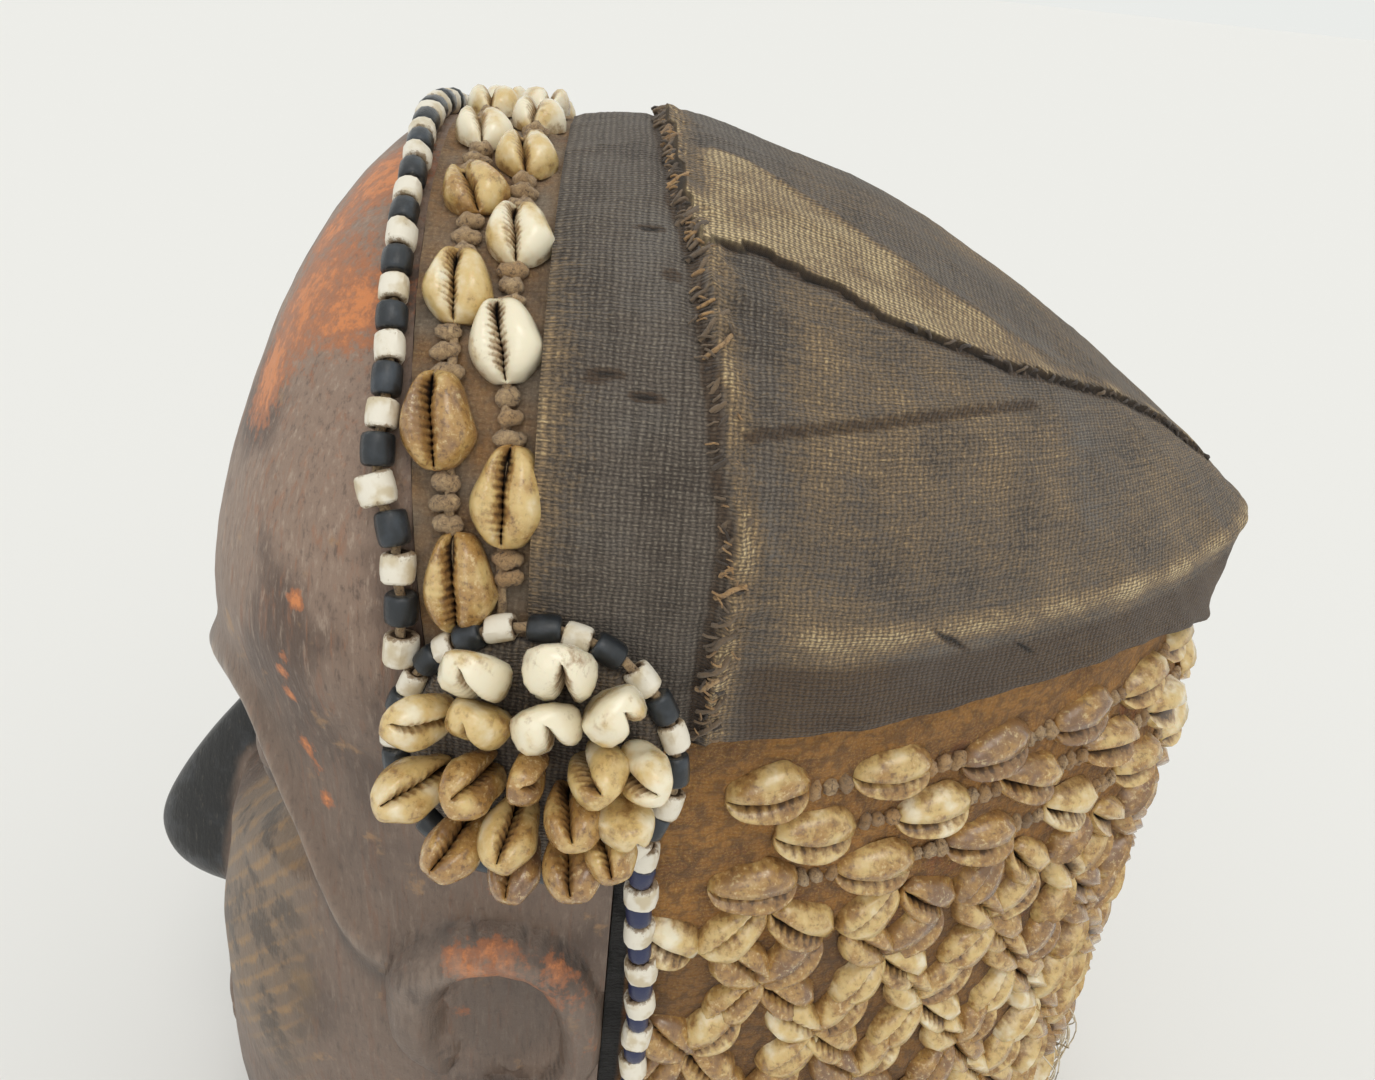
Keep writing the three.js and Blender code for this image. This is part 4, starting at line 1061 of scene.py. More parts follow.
# %% The sewing tree
def sewing_tree():
    tree = bpy.data.node_groups.new("Sewn on", "GeometryNodeTree")
    ports = [("Places", "NodeSocketGeometry"), ("Shapes", "NodeSocketCollection"),
             ("Size", "NodeSocketFloat"), ("Tilt", "NodeSocketFloat"), ("Seed", "NodeSocketInt"),
             ("Finish", "NodeSocketMaterial")]
    for name, kind in ports:
        tree.interface.new_socket(name, in_out="INPUT", socket_type=kind)
    tree.interface.new_socket("Piece", in_out="OUTPUT", socket_type="NodeSocketGeometry")
    given = tree.nodes.new("NodeGroupInput").outputs
    made = tree.nodes.new("NodeGroupOutput")
    out, along, size, kind = (
        add_node(tree, "GeometryNodeInputNamedAttribute", {"Name": name}, data_type=data)
        for name, data in (("out", "FLOAT_VECTOR"), ("along", "FLOAT_VECTOR"), ("size", "FLOAT_VECTOR"),
                           ("kind", "INT")))
    shapes = add_node(tree, "GeometryNodeCollectionInfo", {
        "Collection": given["Shapes"], "Separate Children": True, "Reset Children": True})
    turned = add_node(tree, "FunctionNodeAxesToRotation", {"Primary Axis": out, "Secondary Axis": along},
                      primary_axis="Z", secondary_axis="X")
    scaled = add_node(tree, "ShaderNodeVectorMath", {0: size, "Scale": given["Size"]}, operation="SCALE")
    copies = add_node(tree, "GeometryNodeInstanceOnPoints", {
        "Points": given["Places"], "Instance": shapes, "Pick Instance": True,
        "Instance Index": kind, "Rotation": turned, "Scale": scaled})
    low = add_node(tree, "ShaderNodeMath", [given["Tilt"], -1.0], operation="MULTIPLY")
    tilt = add_node(tree, "FunctionNodeRandomValue", {
        "Min": low, "Max": given["Tilt"], "Seed": given["Seed"]}, data_type="FLOAT_VECTOR")
    tilted = add_node(tree, "GeometryNodeRotateInstances", {"Instances": copies, "Rotation": tilt})
    real = add_node(tree, "GeometryNodeRealizeInstances", [tilted])
    finished = add_node(tree, "GeometryNodeSetMaterial", {"Geometry": real, "Material": given["Finish"]})
    tree.links.new(finished, made.inputs["Piece"])
    return tree


SEWING = sewing_tree()
print("the sewing tree has", len(SEWING.nodes), "nodes")

# %% Shapes to repeat
def shape(name, points, faces, marks=None, sharp=60):
    """A small shape in millimetres to be repeated: X along it, Z outwards."""
    made = make_piece(name, np.asarray(points) * MM, faces, None, None, marks, sharp)
    bpy.context.scene.collection.objects.unlink(made)
    return made


def lathe(profile, sides, wobble=0.0, seed=0):
    """Turns a profile of (place along X, radius) about X, closed at both ends."""
    profile = np.array(profile, float)
    angle = np.arange(sides) * 2 * math.pi / sides
    along, radius = profile[:, :1], profile[:, 1:]
    points = np.stack(np.broadcast_arrays(along, radius * np.cos(angle), radius * np.sin(angle)), axis=-1)
    points = points * (1 + wobble * noise(points, 0.9 * float(radius.max()), seed)[..., None])
    poles = points[[0, -1]].mean(axis=1)
    faces = grid_faces(len(profile), sides, closed=True) + pointed_ends(len(profile) * sides, sides)
    return np.concatenate([points.reshape(-1, 3), poles]), faces


print("a plain turned tube of 12 sides has", len(lathe([(-0.5, 1), (0.5, 1)], 12)[1]), "faces")

# %% Sewing copies on
def sew(name, shapes, at, along, out, finish, size=1.0, kind=0, tint=0.5, scale=1.0, tilt=0.0, seed=1):
    """One piece made of copies of the shapes. at is in metres, the other lists are one per copy."""
    count = len(at)
    mesh = bpy.data.meshes.new(name)
    mesh.from_pydata(np.asarray(at).tolist(), [], [])
    size = np.broadcast_to(np.asarray(size, float).reshape(-1, 1) if np.ndim(size) < 2 else size,
                           (count, 3))
    for label, values in (("along", along), ("out", out), ("size", size)):
        layer = mesh.attributes.new(label, "FLOAT_VECTOR", "POINT")
        layer.data.foreach_set("vector", np.ascontiguousarray(values, float).ravel())
    mesh.attributes.new("kind", "INT", "POINT").data.foreach_set(
        "value", np.broadcast_to(kind, count).astype(np.int32))
    mesh.attributes.new("tint", "FLOAT", "POINT").data.foreach_set(
        "value", np.broadcast_to(np.asarray(tint, float), count).copy())
    box = bpy.data.collections.new(name + " shapes")
    for number, item in enumerate(shapes):
        item.name = f"{number:02d} {name}"
        box.objects.link(item)
    points = bpy.data.objects.new(name + " places", mesh)
    bpy.context.scene.collection.objects.link(points)
    modifier = points.modifiers.new("Sew", "NODES")
    modifier.node_group = SEWING
    values = {"Shapes": box, "Size": scale, "Tilt": math.radians(tilt), "Seed": seed, "Finish": finish}
    for item in SEWING.interface.items_tree:
        if item.in_out == "INPUT" and item.name in values:
            modifier[item.identifier] = values[item.name]
    ready = points.evaluated_get(bpy.context.evaluated_depsgraph_get())
    made = bpy.data.objects.new(name, bpy.data.meshes.new_from_object(ready))
    bpy.context.scene.collection.objects.link(made)
    points.modifiers.remove(modifier)
    bpy.data.objects.remove(points)
    for item in shapes:
        box.objects.unlink(item)
    bpy.data.collections.remove(box)
    return report(made)


print("to be given to the tree:", ", ".join(
    item.name for item in SEWING.interface.items_tree if item.in_out == "INPUT"))

# %% [markdown]
# A cowrie lies with its mouth outwards: two rounded lips with a dark, toothed slit between them. Its
# section is worked out at stations along the shell. The narrow lip has strong teeth, the wide lip has
# short ones, and the slit opens into a notch at each end. Shells sewn by the hundred get fewer faces.

# %% Cowrie outline
LIP_LEFT = [(0, 0), (-0.02, 0.32), (0.05, 0.58), (0.2, 0.84), (0.42, 0.97), (0.68, 0.94), (0.88, 0.79),
            (1, 0.5)]
LIP_RIGHT = [(0, 0.5), (0.07, 0.8), (0.2, 0.95), (0.45, 1.0), (0.7, 0.92), (0.88, 0.7), (1.0, 0.36),
             (1, 0)]
# which points of the two lips a shell keeps, for each value of thin
PLAINER = {1: (range(8), range(8)), 2: ((0, 2, 4, 5, 7), (0, 2, 4, 6, 7)), 4: ((0, 2, 4, 7), (0, 3, 5, 7))}
ROUND_BACK = [(0.93, -0.18), (0.6, -0.34), (0.1, -0.4), (-0.4, -0.36), (-0.85, -0.2)]
left_outline = curve([[0, 0.24], [0.02, 0.36], [0.07, 0.5], [0.15, 0.62], [0.28, 0.77], [0.45, 0.93],
                      [0.6, 1.0], [0.72, 0.93], [0.83, 0.76], [0.92, 0.56], [0.98, 0.38], [1, 0.26]])
right_outline = curve([[0, 0.22], [0.02, 0.34], [0.07, 0.48], [0.15, 0.6], [0.28, 0.75], [0.45, 0.9],
                       [0.58, 1.0], [0.66, 1.03], [0.75, 0.93], [0.85, 0.72], [0.93, 0.52],
                       [0.98, 0.36], [1, 0.24]])
shell_height = curve([[0, 0.25], [0.02, 0.38], [0.07, 0.56], [0.15, 0.73], [0.3, 0.9], [0.5, 1.0],
                      [0.7, 0.94], [0.85, 0.78], [0.94, 0.58], [0.98, 0.4], [1, 0.26]])
print("a cowrie's lips have", len(LIP_LEFT), "and", len(LIP_RIGHT), "points across")

# %% Cowrie shape
def cowrie(name, stations, per_tooth, seed, size, thin=1, back=False, blunt=0.85, edge=0.5, stain=0.1,
           lumps=0.14):
    """A cowrie of a size (length, width, height). thin leaves out points of its section, back gives it
    a round back, a lower blunt a fuller outline. edge darkens it towards the base of its outline and
    stain all over, and its slit and the gaps between its teeth are darkened with stains and painted shade."""
    length, width, height = size
    t = np.linspace(0, 1, stations)
    t = mix(t, 0.5 - 0.5 * np.cos(t * math.pi), 0.5)
    wander = noise(np.stack([t * 3, t * 0 + seed], axis=-1), 1.0, seed)
    tips = smooth(t / 0.05) * smooth((1 - t) / 0.05)
    tooth = 0.5 + 0.5 * np.cos(np.arange(stations) * 2 * math.pi / per_tooth)
    tooth = 1 - (1 - tooth) * smooth((t - 0.05) / 0.1) * smooth((0.95 - t) / 0.1)
    left = width / 2 * left_outline(t) ** blunt * (1 + 0.04 * wander)
    right = width / 2 * right_outline(t) ** blunt * (1 - 0.05 * wander)
    tall = height * shell_height(t) ** blunt
    slit_at = -left + (left + right) * (0.4 + 0.035 * np.sin((t - 0.3) * 4) + 0.015 * wander)
    slit_half = width * (0.025 + 0.045 * smooth((0.5 - t) / 0.4) + 0.02 * smooth((t - 0.8) / 0.2))
    slit_half = np.minimum(slit_half, 0.1 * (left + right))
    ring, dirt_and_shade = [], []
    for f, g in (LIP_LEFT[k] for k in PLAINER[thin][0]):
        inner_share = smooth((f - 0.4) / 0.45)
        across = mix(-left, slit_at - slit_half + 0.4 * tooth * (f > 0.9), f)
        ring.append((across, tall * g - 0.5 * (1 - tooth) * inner_share * (f < 0.95)))
        # Darker towards the base of the outline, and darkened near the slit and between the teeth with
        # stains and painted shade.
        dirt_and_shade.append(edge * smooth((0.75 - g) / 0.6) + stain + inner_share * tips * (0.3 + 0.4 * (1 - tooth)))
    ring.append((slit_at, tall * mix(0.6, 0.1, tips)))
    # Deep in the slit nearly black: painted shade, with stains.
    dirt_and_shade.append(mix(0.6, 1.7, tips))
    for f, g in (LIP_RIGHT[k] for k in PLAINER[thin][1]):
        inner_share = 1 - smooth((f - 0.02) / 0.22)
        across = mix(slit_at + slit_half - 0.3 * tooth * (f < 0.05), right, f)
        ring.append((across, tall * g - 0.4 * (1 - tooth) * inner_share * (f > 0.02)))
        dirt_and_shade.append(edge * smooth((0.75 - g) / 0.6) * (f > 0.5) + stain
                    + inner_share * tips * (0.3 + 0.35 * (1 - tooth)))
    if back:
        for f, g in ROUND_BACK:
            ring.append((np.where(f > 0, right, left) * f, tall * g))
            dirt_and_shade.append(np.full(stations, stain + 0.1))
    across = np.stack([a for a, _ in ring], axis=1)
    up = np.stack([h for _, h in ring], axis=1)
    along = np.broadcast_to(((t - 0.5) * length)[:, None], across.shape)
    points = np.stack([along, across, up], axis=-1)
    points = points + lumps * noise(points, 3.2 + 6 * lumps, seed)[..., None]
    sides, count = points.shape[1], points.shape[0] * points.shape[1]
    poles = points[[0, -1]].mean(axis=1) + np.array([[-0.35, 0, 0], [0.35, 0, 0]])
    faces = grid_faces(stations, sides, closed=True) + pointed_ends(count, sides)
    marks = {"dirt_and_shade": np.append(np.stack(dirt_and_shade, axis=1).ravel(), [0.3, 0.3])}
    return shape(name, np.concatenate([points.reshape(-1, 3), poles]), faces, marks, 80)


print("lip points by thin:", {thin: len(left) + len(right) for thin, (left, right) in PLAINER.items()})

# %% [markdown]
# Cowrie shell is like glazed china: hard, smooth and faintly clear. Old shells go from ivory through
# honey to brown, each shell in its own shade, darker towards the base of the outline. The slit and the
# gaps between the teeth are darkened by stains and painted shade, and the slit is nearly black deep
# down, which is painted shade. The glaze has a low roughness where it is clean and a higher one where
# it is darkened. A thin coat on top and a little light carried under the surface give it depth. The
# IOR of 1.55 is between lime and horn.

# %% Cowrie shell
cowrie_shell, tree = new_finish("cowrie_shell_worn")
where = add_node(tree, "ShaderNodeTexCoord", out="Object")
tint = add_node(tree, "ShaderNodeAttribute", out="Fac", attribute_name="tint")
dirt_and_shade = add_node(tree, "ShaderNodeAttribute", out="Fac", attribute_name="dirt_and_shade")
cloud = add_node(tree, "ShaderNodeTexNoise", {"Vector": where, "Scale": per_mm(7), "Detail": 4.0})
speck = add_node(tree, "ShaderNodeTexNoise", {"Vector": where, "Scale": per_mm(1.6), "Detail": 6.0,
                                              "Roughness": 0.7})
shade = uneven(tree, tint, [(cloud, 1.1, 0.5)])
grime_and_shade = uneven(tree, dirt_and_shade, [(speck, 1.3, 0.5), (cloud, 1.1, 0.5)])
glaze = paint(tree, "#efe5ca", [
    ("#d6b97c", (shade, 0.22, 0.55)),
    ("#a97f46", (shade, 0.5, 0.8, 0.9)),
    ("#7d604c", (shade, 0.76, 1.05, 0.9)),
    ("#654a35", (shade, 0.42, 0.75), (speck, 0.5, 0.66, 0.75)),
    ("#e6cf9c", (shade, 0.42, 0.75), (speck, 0.46, 0.34, 0.6)),
    # Darker towards the base of the outline, in the slit and between the teeth with stains and painted
    # shade, and nearly black deep in the slit, which is painted shade.
    ("#8f6a3d", (grime_and_shade, 0.3, 0.72, 0.75)),
    ("#4f3925", (grime_and_shade, 0.66, 1.05, 0.9)),
    ("#120c08", (dirt_and_shade, 1.05, 1.5)),
])
dull = add_node(tree, "ShaderNodeMapRange", {
    "Value": grime_and_shade, "From Min": 0.3, "From Max": 0.9, "To Min": 0.2, "To Max": 0.55},
    interpolation_type="SMOOTHSTEP")
finish_with(tree, glaze, dull, [(speck, 0.08)],
            **{"IOR": 1.55, "Subsurface Weight": 0.06, "Subsurface Scale": 0.002, "Coat Weight": 0.3,
               "Coat Roughness": 0.18})
print("cowrie shell has", len(tree.nodes), "nodes")

# %% [markdown]
# Two lines of cowries run over the headband, one a little longer than the other. They were sewn on by
# hand, so no two gaps are alike: every shell has its own place, size, shade and twist, read from the
# photograph. The other half of the head has the same shells, mirrored.

# %% Cowries on the headband
COLUMNS = {
    # place across the band and how it drifts, then per shell from the crown down one side:
    # distance along the arch, shift across, length and width against a plain shell, shade, twist
    (12.6, 0.7): [(0, 0, 0.78, 0.9, 0.4, 0), (24, 0, 0.78, 0.92, 0.35, 0.1),
                  (50, 1.0, 0.72, 0.98, 0.62, 0.3), (76.8, 0.4, 0.83, 0.98, 0.48, 0.05),
                  (106, -2.4, 0.98, 1.02, 0.75, 0.05), (138.5, 1.6, 1.02, 1.0, 0.68, 0.08)],
    (24.4, 0.35): [(11, 0, 0.76, 0.9, 0.3, -0.1), (35, -0.7, 0.74, 0.96, 0.5, 0.1),
                   (62.5, 0, 0.78, 1.0, 0.32, 0.05), (88.5, -1.0, 0.88, 1.04, 0.08, 0.12),
                   (120.4, 1.4, 1.02, 1.02, 0.6, -0.05)],
}
at, along, out, size, tints, knot_s, knot_y = [], [], [], [], [], [], []
for (column_y, drift), shells in COLUMNS.items():
    rows = [(-s, *rest) for s, *rest in shells[::-1] if s > 0] + [tuple(row) for row in shells]
    s, shift, long, wide, shade, turn = np.array(rows, float).T
    x, depth, away, down = on_arch(s, -1.6)
    at.append(place(x, column_y + bead_y(depth) * drift + shift, depth))
    down = down * np.sign(s + 0.01)[:, None]
    along.append(down + np.array([0, 1, 0]) * turn[:, None])
    out.append(away)
    size.append(np.stack([long, wide, 0.5 * (long + wide)], axis=-1))
    tints.append(shade)
    gaps, middle = np.abs(np.diff(s)) - 19 * (long[1:] + long[:-1]) / 2, (s[1:] + s[:-1]) / 2
    for place_in_gap in (-0.36, 0, 0.36):
        knot_s.append(middle + place_in_gap * np.clip(gaps, 6, 12))
        knot_y.append(column_y + (shift[1:] + shift[:-1]) / 2)
    ends = np.array([12.5, 16.5]) if column_y > 20 else np.array([13.0])
    knot_s += [s[0] - ends, s[-1] + ends]
    knot_y += [column_y + shift[0] + 0 * ends, column_y + shift[-1] + 0 * ends]
at, along, out, size, tints = (np.concatenate(v) for v in (at, along, out, size, tints))
BAND_SHELLS = [cowrie(f"cowrie {seed}", stations=54, per_tooth=3.6, seed=seed, size=(20.0, 14.4, 7.8))
               for seed in (2, 5, 9)]
band_cowries = sew("band_cowries_sewn", BAND_SHELLS, at, along, out, cowrie_shell, size,
                   np.arange(len(at)) % 3, tints, tilt=3, seed=4)

# %% [markdown]
# Between the shells the sewing cord is wound into small knots. A knot is a short fat roll of twisted
# strands lying across the cord. It has few faces, because there are hundreds, and the twist is in
# its shape. The same cord makes the long stitches of the cap and the thread inside the beads. It is
# dry plant fibre: matt, with a slight sheen of loose ends. Its colour is lighter on the raised strands,
# which is painted light, and dark between them, which is painted shade.

# %% Twisted cord
raffia_cord, tree = new_finish("raffia_cord_twisted")
where = add_node(tree, "ShaderNodeTexCoord", out="Object")
tint = add_node(tree, "ShaderNodeAttribute", out="Fac", attribute_name="tint")
strand = add_node(tree, "ShaderNodeTexNoise", {"Vector": where, "Scale": per_mm(1.1), "Detail": 6.0,
                                               "Roughness": 0.75, "Distortion": 0.8})
cord_colour = paint(tree, "#a98c68", [
    # Lighter on the raised strands, which is painted light, and dark between them, which is painted shade.
    ("#cfb387", (strand, 0.48, 0.66, 0.85)),
    ("#b3854b", (tint, 0.3, 0.65, 0.75)),
    ("#3f3126", (strand, 0.5, 0.34, 0.85)),
    ("#6a5c4c", (tint, 0.54, 0.7, 0.85)),
    ("#332a25", (tint, 0.72, 0.95, 0.85)),
    ("#ded2b8", (tint, -0.2, -0.5, 0.9)),
])
finish_with(tree, cord_colour, 0.88, [(strand, 0.6)],
            **{"Sheen Weight": 0.2, "Sheen Roughness": 0.6, "IOR": 1.45})
print("cord colours run from bleached to nearly black over", len(tree.nodes), "nodes")

# %% Knots
KNOT_RINGS, KNOT_SIDES = 8, 8


def knot_shape(name, seed):
    """A roll 6 mm long and 3.8 mm thick with two strands winding round it."""
    t = np.linspace(-1, 1, KNOT_RINGS)[:, None]
    spin = np.arange(KNOT_SIDES) * 2 * math.pi / KNOT_SIDES
    outline = 1.9 * np.sqrt(np.maximum(0.1, 1 - np.abs(t) ** 2.6))
    radius = outline * (1 + 0.2 * np.cos(2 * spin + 5.0 * t + seed))
    across, up = radius * np.cos(spin), radius * np.sin(spin) + 0.9
    points = np.stack(np.broadcast_arrays(across, 3.0 * t, up), axis=-1)
    points = (points + 0.35 * noise(points, 1.8, seed)[..., None]).reshape(-1, 3)
    faces = grid_faces(KNOT_RINGS, KNOT_SIDES, closed=True) + flat_ends(len(points), KNOT_SIDES)
    return shape(name, points, faces, {"dirt_and_shade": np.zeros(len(points))}, 80)


rng = np.random.default_rng(7)
knot_s, knot_y = np.concatenate(knot_s), np.concatenate(knot_y)
x, depth, away, down = on_arch(knot_s, -1.9)
drift = np.where(knot_y < 18, 0.7, 0.35)
knot_at = place(x, knot_y + bead_y(depth) * drift + rng.normal(0, 0.35, len(x)), depth)
KNOTS = [knot_shape(f"knot {seed}", seed) for seed in (3, 6, 8)]
band_knots = sew("band_knots", KNOTS, knot_at, down, away, raffia_cord,
                 rng.uniform(0.85, 1.15, (len(x), 3)), rng.integers(0, 3, len(x)),
                 rng.uniform(0, 0.5, len(x)), tilt=12, seed=5)

# %% [markdown]
# The beads are old trade glass, white and very dark blue in turn. White ones are chalky, rough and
# pitted, with brown dirt at their ends. Dark ones are glossy and slightly faceted. Both are short
# tubes with a hole, so each is a turned profile that dips in at its ends, and in the white beads the
# hole is darkened as painted shade. Soda glass has an IOR of 1.52.

# %% Bead glass
glass_beads, tree = new_finish("glass_beads_old")
where = add_node(tree, "ShaderNodeTexCoord", out="Object")
tint = add_node(tree, "ShaderNodeAttribute", out="Fac", attribute_name="tint")
end_dirt_and_hole_shade = add_node(tree, "ShaderNodeAttribute", out="Fac", attribute_name="dirt_and_shade")
pits = add_node(tree, "ShaderNodeTexNoise", {"Vector": where, "Scale": per_mm(1.4), "Detail": 7.0,
                                             "Roughness": 0.75})
cloud = add_node(tree, "ShaderNodeTexNoise", {"Vector": where, "Scale": per_mm(5), "Detail": 3.0})
grime_and_shade = uneven(tree, end_dirt_and_hole_shade, [(pits, 2.4, 0.44)])
chalk = paint(tree, "#e9e2d2", [
    ("#c9b895", (cloud, 0.45, 0.66, 0.8)),
    ("#8b7152", (grime_and_shade, 0.45, 0.85, 0.85)),
    # Darkest in the hole, which is painted shade, and where the brown soiling at the ends is thickest.
    ("#3f2f20", (grime_and_shade, 0.95, 1.3)),
])
slate = paint(tree, "#1e2328", [
    ("#39414a", (cloud, 0.45, 0.75, 0.8)),
    ("#232b50", (tint, 1.2, 1.8)),
    ("#6d6a62", (grime_and_shade, 0.75, 1.1, 0.5)),
])
bead_colour = paint(tree, chalk, [(slate, (tint, 0.45, 0.55))])
bead_dull = add_node(tree, "ShaderNodeMapRange", {
    "Value": tint, "From Min": 0.45, "From Max": 0.55, "To Min": 0.55, "To Max": 0.28},
    interpolation_type="SMOOTHSTEP")
finish_with(tree, bead_colour, bead_dull, [(pits, 0.16)],
            **{"IOR": 1.52, "Coat Weight": 0.1, "Coat Roughness": 0.15})
print("bead glass has", len(tree.nodes), "nodes")

# %% Bead shapes
def bead_shape(name, sides, seed, wobble, barrel=0.0):
    """A tube 1 mm long and 1 mm in radius, to be scaled to each bead."""
    edge = 1 - barrel
    profile = [(-0.3, 0.26), (-0.47, 0.34), (-0.5, 0.72), (-0.46, 0.92 * edge), (-0.38, edge),
               (-0.15, 1), (0.15, 1), (0.38, edge), (0.46, 0.92 * edge), (0.5, 0.72), (0.47, 0.34),
               (0.3, 0.26)]
    points, faces = lathe(profile, sides, wobble, seed)
    # Brown soiling towards the ends, and painted shade in the hole.
    ends = np.clip((np.abs(points[:, 0]) - 0.34) * 4.5, 0, 1) + 1.2 * (np.hypot(
        points[:, 1], points[:, 2]) < 0.4)
    return shape(name, points, faces, {"dirt_and_shade": ends}, 35)


BEADS = [bead_shape(f"white bead {seed}", 14, seed, 0.12, 0.03) for seed in (1, 2, 3)]
BEADS += [bead_shape(f"dark bead {seed}", 12, seed, 0.07, 0.04) for seed in (4, 5)]
print("a white bead has", triangles(BEADS[0]), "triangles")

# %% Strings of beads
def string_beads(name, at, along, out, dark, length, radius, seed, tilt=5, dark_tint=1.0):
    """Beads along a string, white or dark by the list given. A dark tint of 2 is a clear blue."""
    picks = np.random.default_rng(seed)
    count = len(at)
    kind = np.where(dark, 3 + picks.integers(0, 2, count), picks.integers(0, 3, count))
    size = np.stack([length * picks.uniform(0.93, 1.07, count), radius * picks.uniform(0.94, 1.06, count),
                     radius * picks.uniform(0.94, 1.06, count)], axis=-1)
    return sew(name, BEADS, at, along, out, glass_beads, size, kind, np.where(dark, dark_tint, 0.0),
               tilt=tilt, seed=seed)


# along the arch from the crown to the middle of each bead, read from the photograph
HALF_EDGING = [7.8, 14.9, 21.3, 28.2, 34.2, 40.4, 46.9, 53.6, 59.8, 66.1, 72.7, 79.2, 85.6, 92.0, 98.7,
               105.6, 112.7, 120.6, 128.0, 136.0, 144.4, 153.6]
edge_s = np.array([-s for s in HALF_EDGING[::-1]] + [0.6] + HALF_EDGING)
step = np.arange(-22, 23)
room = np.gradient(edge_s)
stray = curve([[95, 0], [105, -1], [113, -2], [121, -2.6], [128, 0.4], [136, 0.7], [145, 0.6], [154, -0.6]])
x, depth, away, down = on_arch(edge_s, -1.0 * smooth((45 - np.abs(edge_s)) / 40))
edge_y = bead_y(depth) + np.where(edge_s > 90, stray(edge_s), -1.6 * smooth((45 - np.abs(edge_s)) / 40))
edge_at = place(x, edge_y, depth)
edge_along = unit(np.gradient(edge_at, axis=0))
bead_edging = string_beads("bead_edging_strung", edge_at, edge_along, away, step % 2 == 1,
                           np.minimum(0.9 * room, 6.9), mix(3.3, 3.6, smooth((edge_s - 90) / 30)), 11)

# %% [markdown]
# Each temple has a rosette: a cloth pad ringed with beads, with shells standing on it like a bunch of
# flowers. They spread outwards, so the top ones are seen end on and the low ones from their mouths.
# Each shell has a foot on the pad and a spin that turns its mouth, chosen from the photograph.

# %% Rosette places
ROSETTE_AT, RING_RADIUS = (112.8, 34.8, 112.4), 29.9
# of each bead on the ring, in degrees from the back up over the top
RING_ANGLES = [162, 152, 139, 130, 119, 106, 89, 76, 63, 45, 31, 17, 2, -15, -27, -41, -54, -68, -81,
               -95, -108, -122, -135, -153, -170, -184]
ROSETTE_SHELLS = [
    # middle of the shell as (back, up) over the pad, lean of its tip (back, up), spin of the mouth in
    # degrees from up towards the back, shade, size
    (-10.4, 22.9, -0.25, 0.75, 175, 0.3, 0.95), (5.8, 26.0, 0.1, 0.8, 180, -0.1, 1.1),
    (-20.6, 11.6, -0.6, 0.3, 100, 0.5, 0.86), (-9.4, 12.4, -0.25, 0.6, 190, 0.55, 0.9),
    (4.2, 13.6, 0.05, 0.65, 160, 0.25, 1.0), (17.0, 18.6, 0.35, 0.6, 140, 0.35, 0.95),
    (-21.4, -3.8, -0.6, 0.0, 62, 0.55, 0.95), (-9.5, -0.6, -0.28, 0.1, 62, 0.75, 0.92),
    (1.6, 2.6, 0.0, 0.15, 95, 0.85, 0.78), (14.0, 6.2, 0.25, 0.1, -48, 0.5, 0.92),
    (22.8, 6.6, 0.5, 0.1, -75, 0.4, 0.86), (-12.9, -15.6, -0.4, -0.3, 28, 0.8, 0.9),
    (-1.7, -10.8, -0.1, -0.25, 22, 0.6, 0.9), (10.2, -4.4, 0.2, -0.1, -12, 0.75, 0.9),
    (20.6, -4.8, 0.45, -0.15, 172, 0.45, 0.86), (-0.8, -19.2, -0.05, -0.45, 0, 1.0, 0.8),
    (10.8, -16.4, 0.2, -0.35, -4, 0.85, 0.9), (17.6, -11.4, 0.35, -0.3, -20, 0.65, 0.8),
]


def rosette_axes(side):
    normal = unit(np.array([side * 0.985, -0.12, 0.12]))
    up = unit(UP - normal * normal[2])
    back_way = unit(np.cross(up, normal)) * side
    centre = place(side * ROSETTE_AT[0], ROSETTE_AT[1], ROSETTE_AT[2])
    return centre, normal, up, back_way


print("a rosette has", len(ROSETTE_SHELLS), "shells in a ring of", len(RING_ANGLES), "beads")

# %% Rosettes
ROSETTE_COWRIES = [cowrie(f"whole cowrie {seed}", stations=42, per_tooth=3.4, seed=seed,
                          size=(19.5, 13.4, 6.6), back=True, blunt=0.66, edge=0.15, stain=0.22, lumps=0.4)
                   for seed in (3, 7, 12)]
rosette_pieces = {}
for side, name in SIDES:
    centre, normal, up, back_way = rosette_axes(side)
    back_at, up_at, lean_back, lean_up, spin, shades, big = np.array(ROSETTE_SHELLS).T[..., None]
    if side < 0:
        back_at = back_at + np.random.default_rng(3).normal(0, 0.7, back_at.shape)
        shades = shades[::-1]
    along = unit(normal + lean_back * back_way + lean_up * up)
    mouth_up = unit(up - along * (along @ up)[:, None])
    mouth_back = unit(back_way - along * (along @ back_way)[:, None]
                      - mouth_up * (mouth_up @ back_way)[:, None])
    mouth = np.cos(np.radians(spin)) * mouth_up + np.sin(np.radians(spin)) * mouth_back
    middle = centre + (back_at * back_way + up_at * up + 10.8 * normal) * MM
    rosette_pieces[f"rosette_shells_{name}"] = sew(
        f"rosette_shells_{name}_sewn", ROSETTE_COWRIES, middle - mouth * 2.3 * MM, along, mouth,
        cowrie_shell, big * np.random.default_rng(5).uniform(0.97, 1.04, (len(big), 3)),
        np.arange(len(big)) % 3, shades[:, 0])

    angle = np.radians(RING_ANGLES)[:, None]
    ring_at = centre + (np.cos(angle) * back_way + np.sin(angle) * up) * RING_RADIUS * MM
    around = np.sin(angle) * back_way - np.cos(angle) * up
    room = np.abs(np.gradient(angle[:, 0])) * RING_RADIUS
    rosette_pieces[f"rosette_beads_{name}"] = string_beads(
        f"rosette_beads_{name}_strung", ring_at, around, np.broadcast_to(normal, ring_at.shape),
        np.arange(len(angle)) % 2 == 0, np.minimum(0.9 * room, 6.6), 3.05, 20 + side, tilt=8)

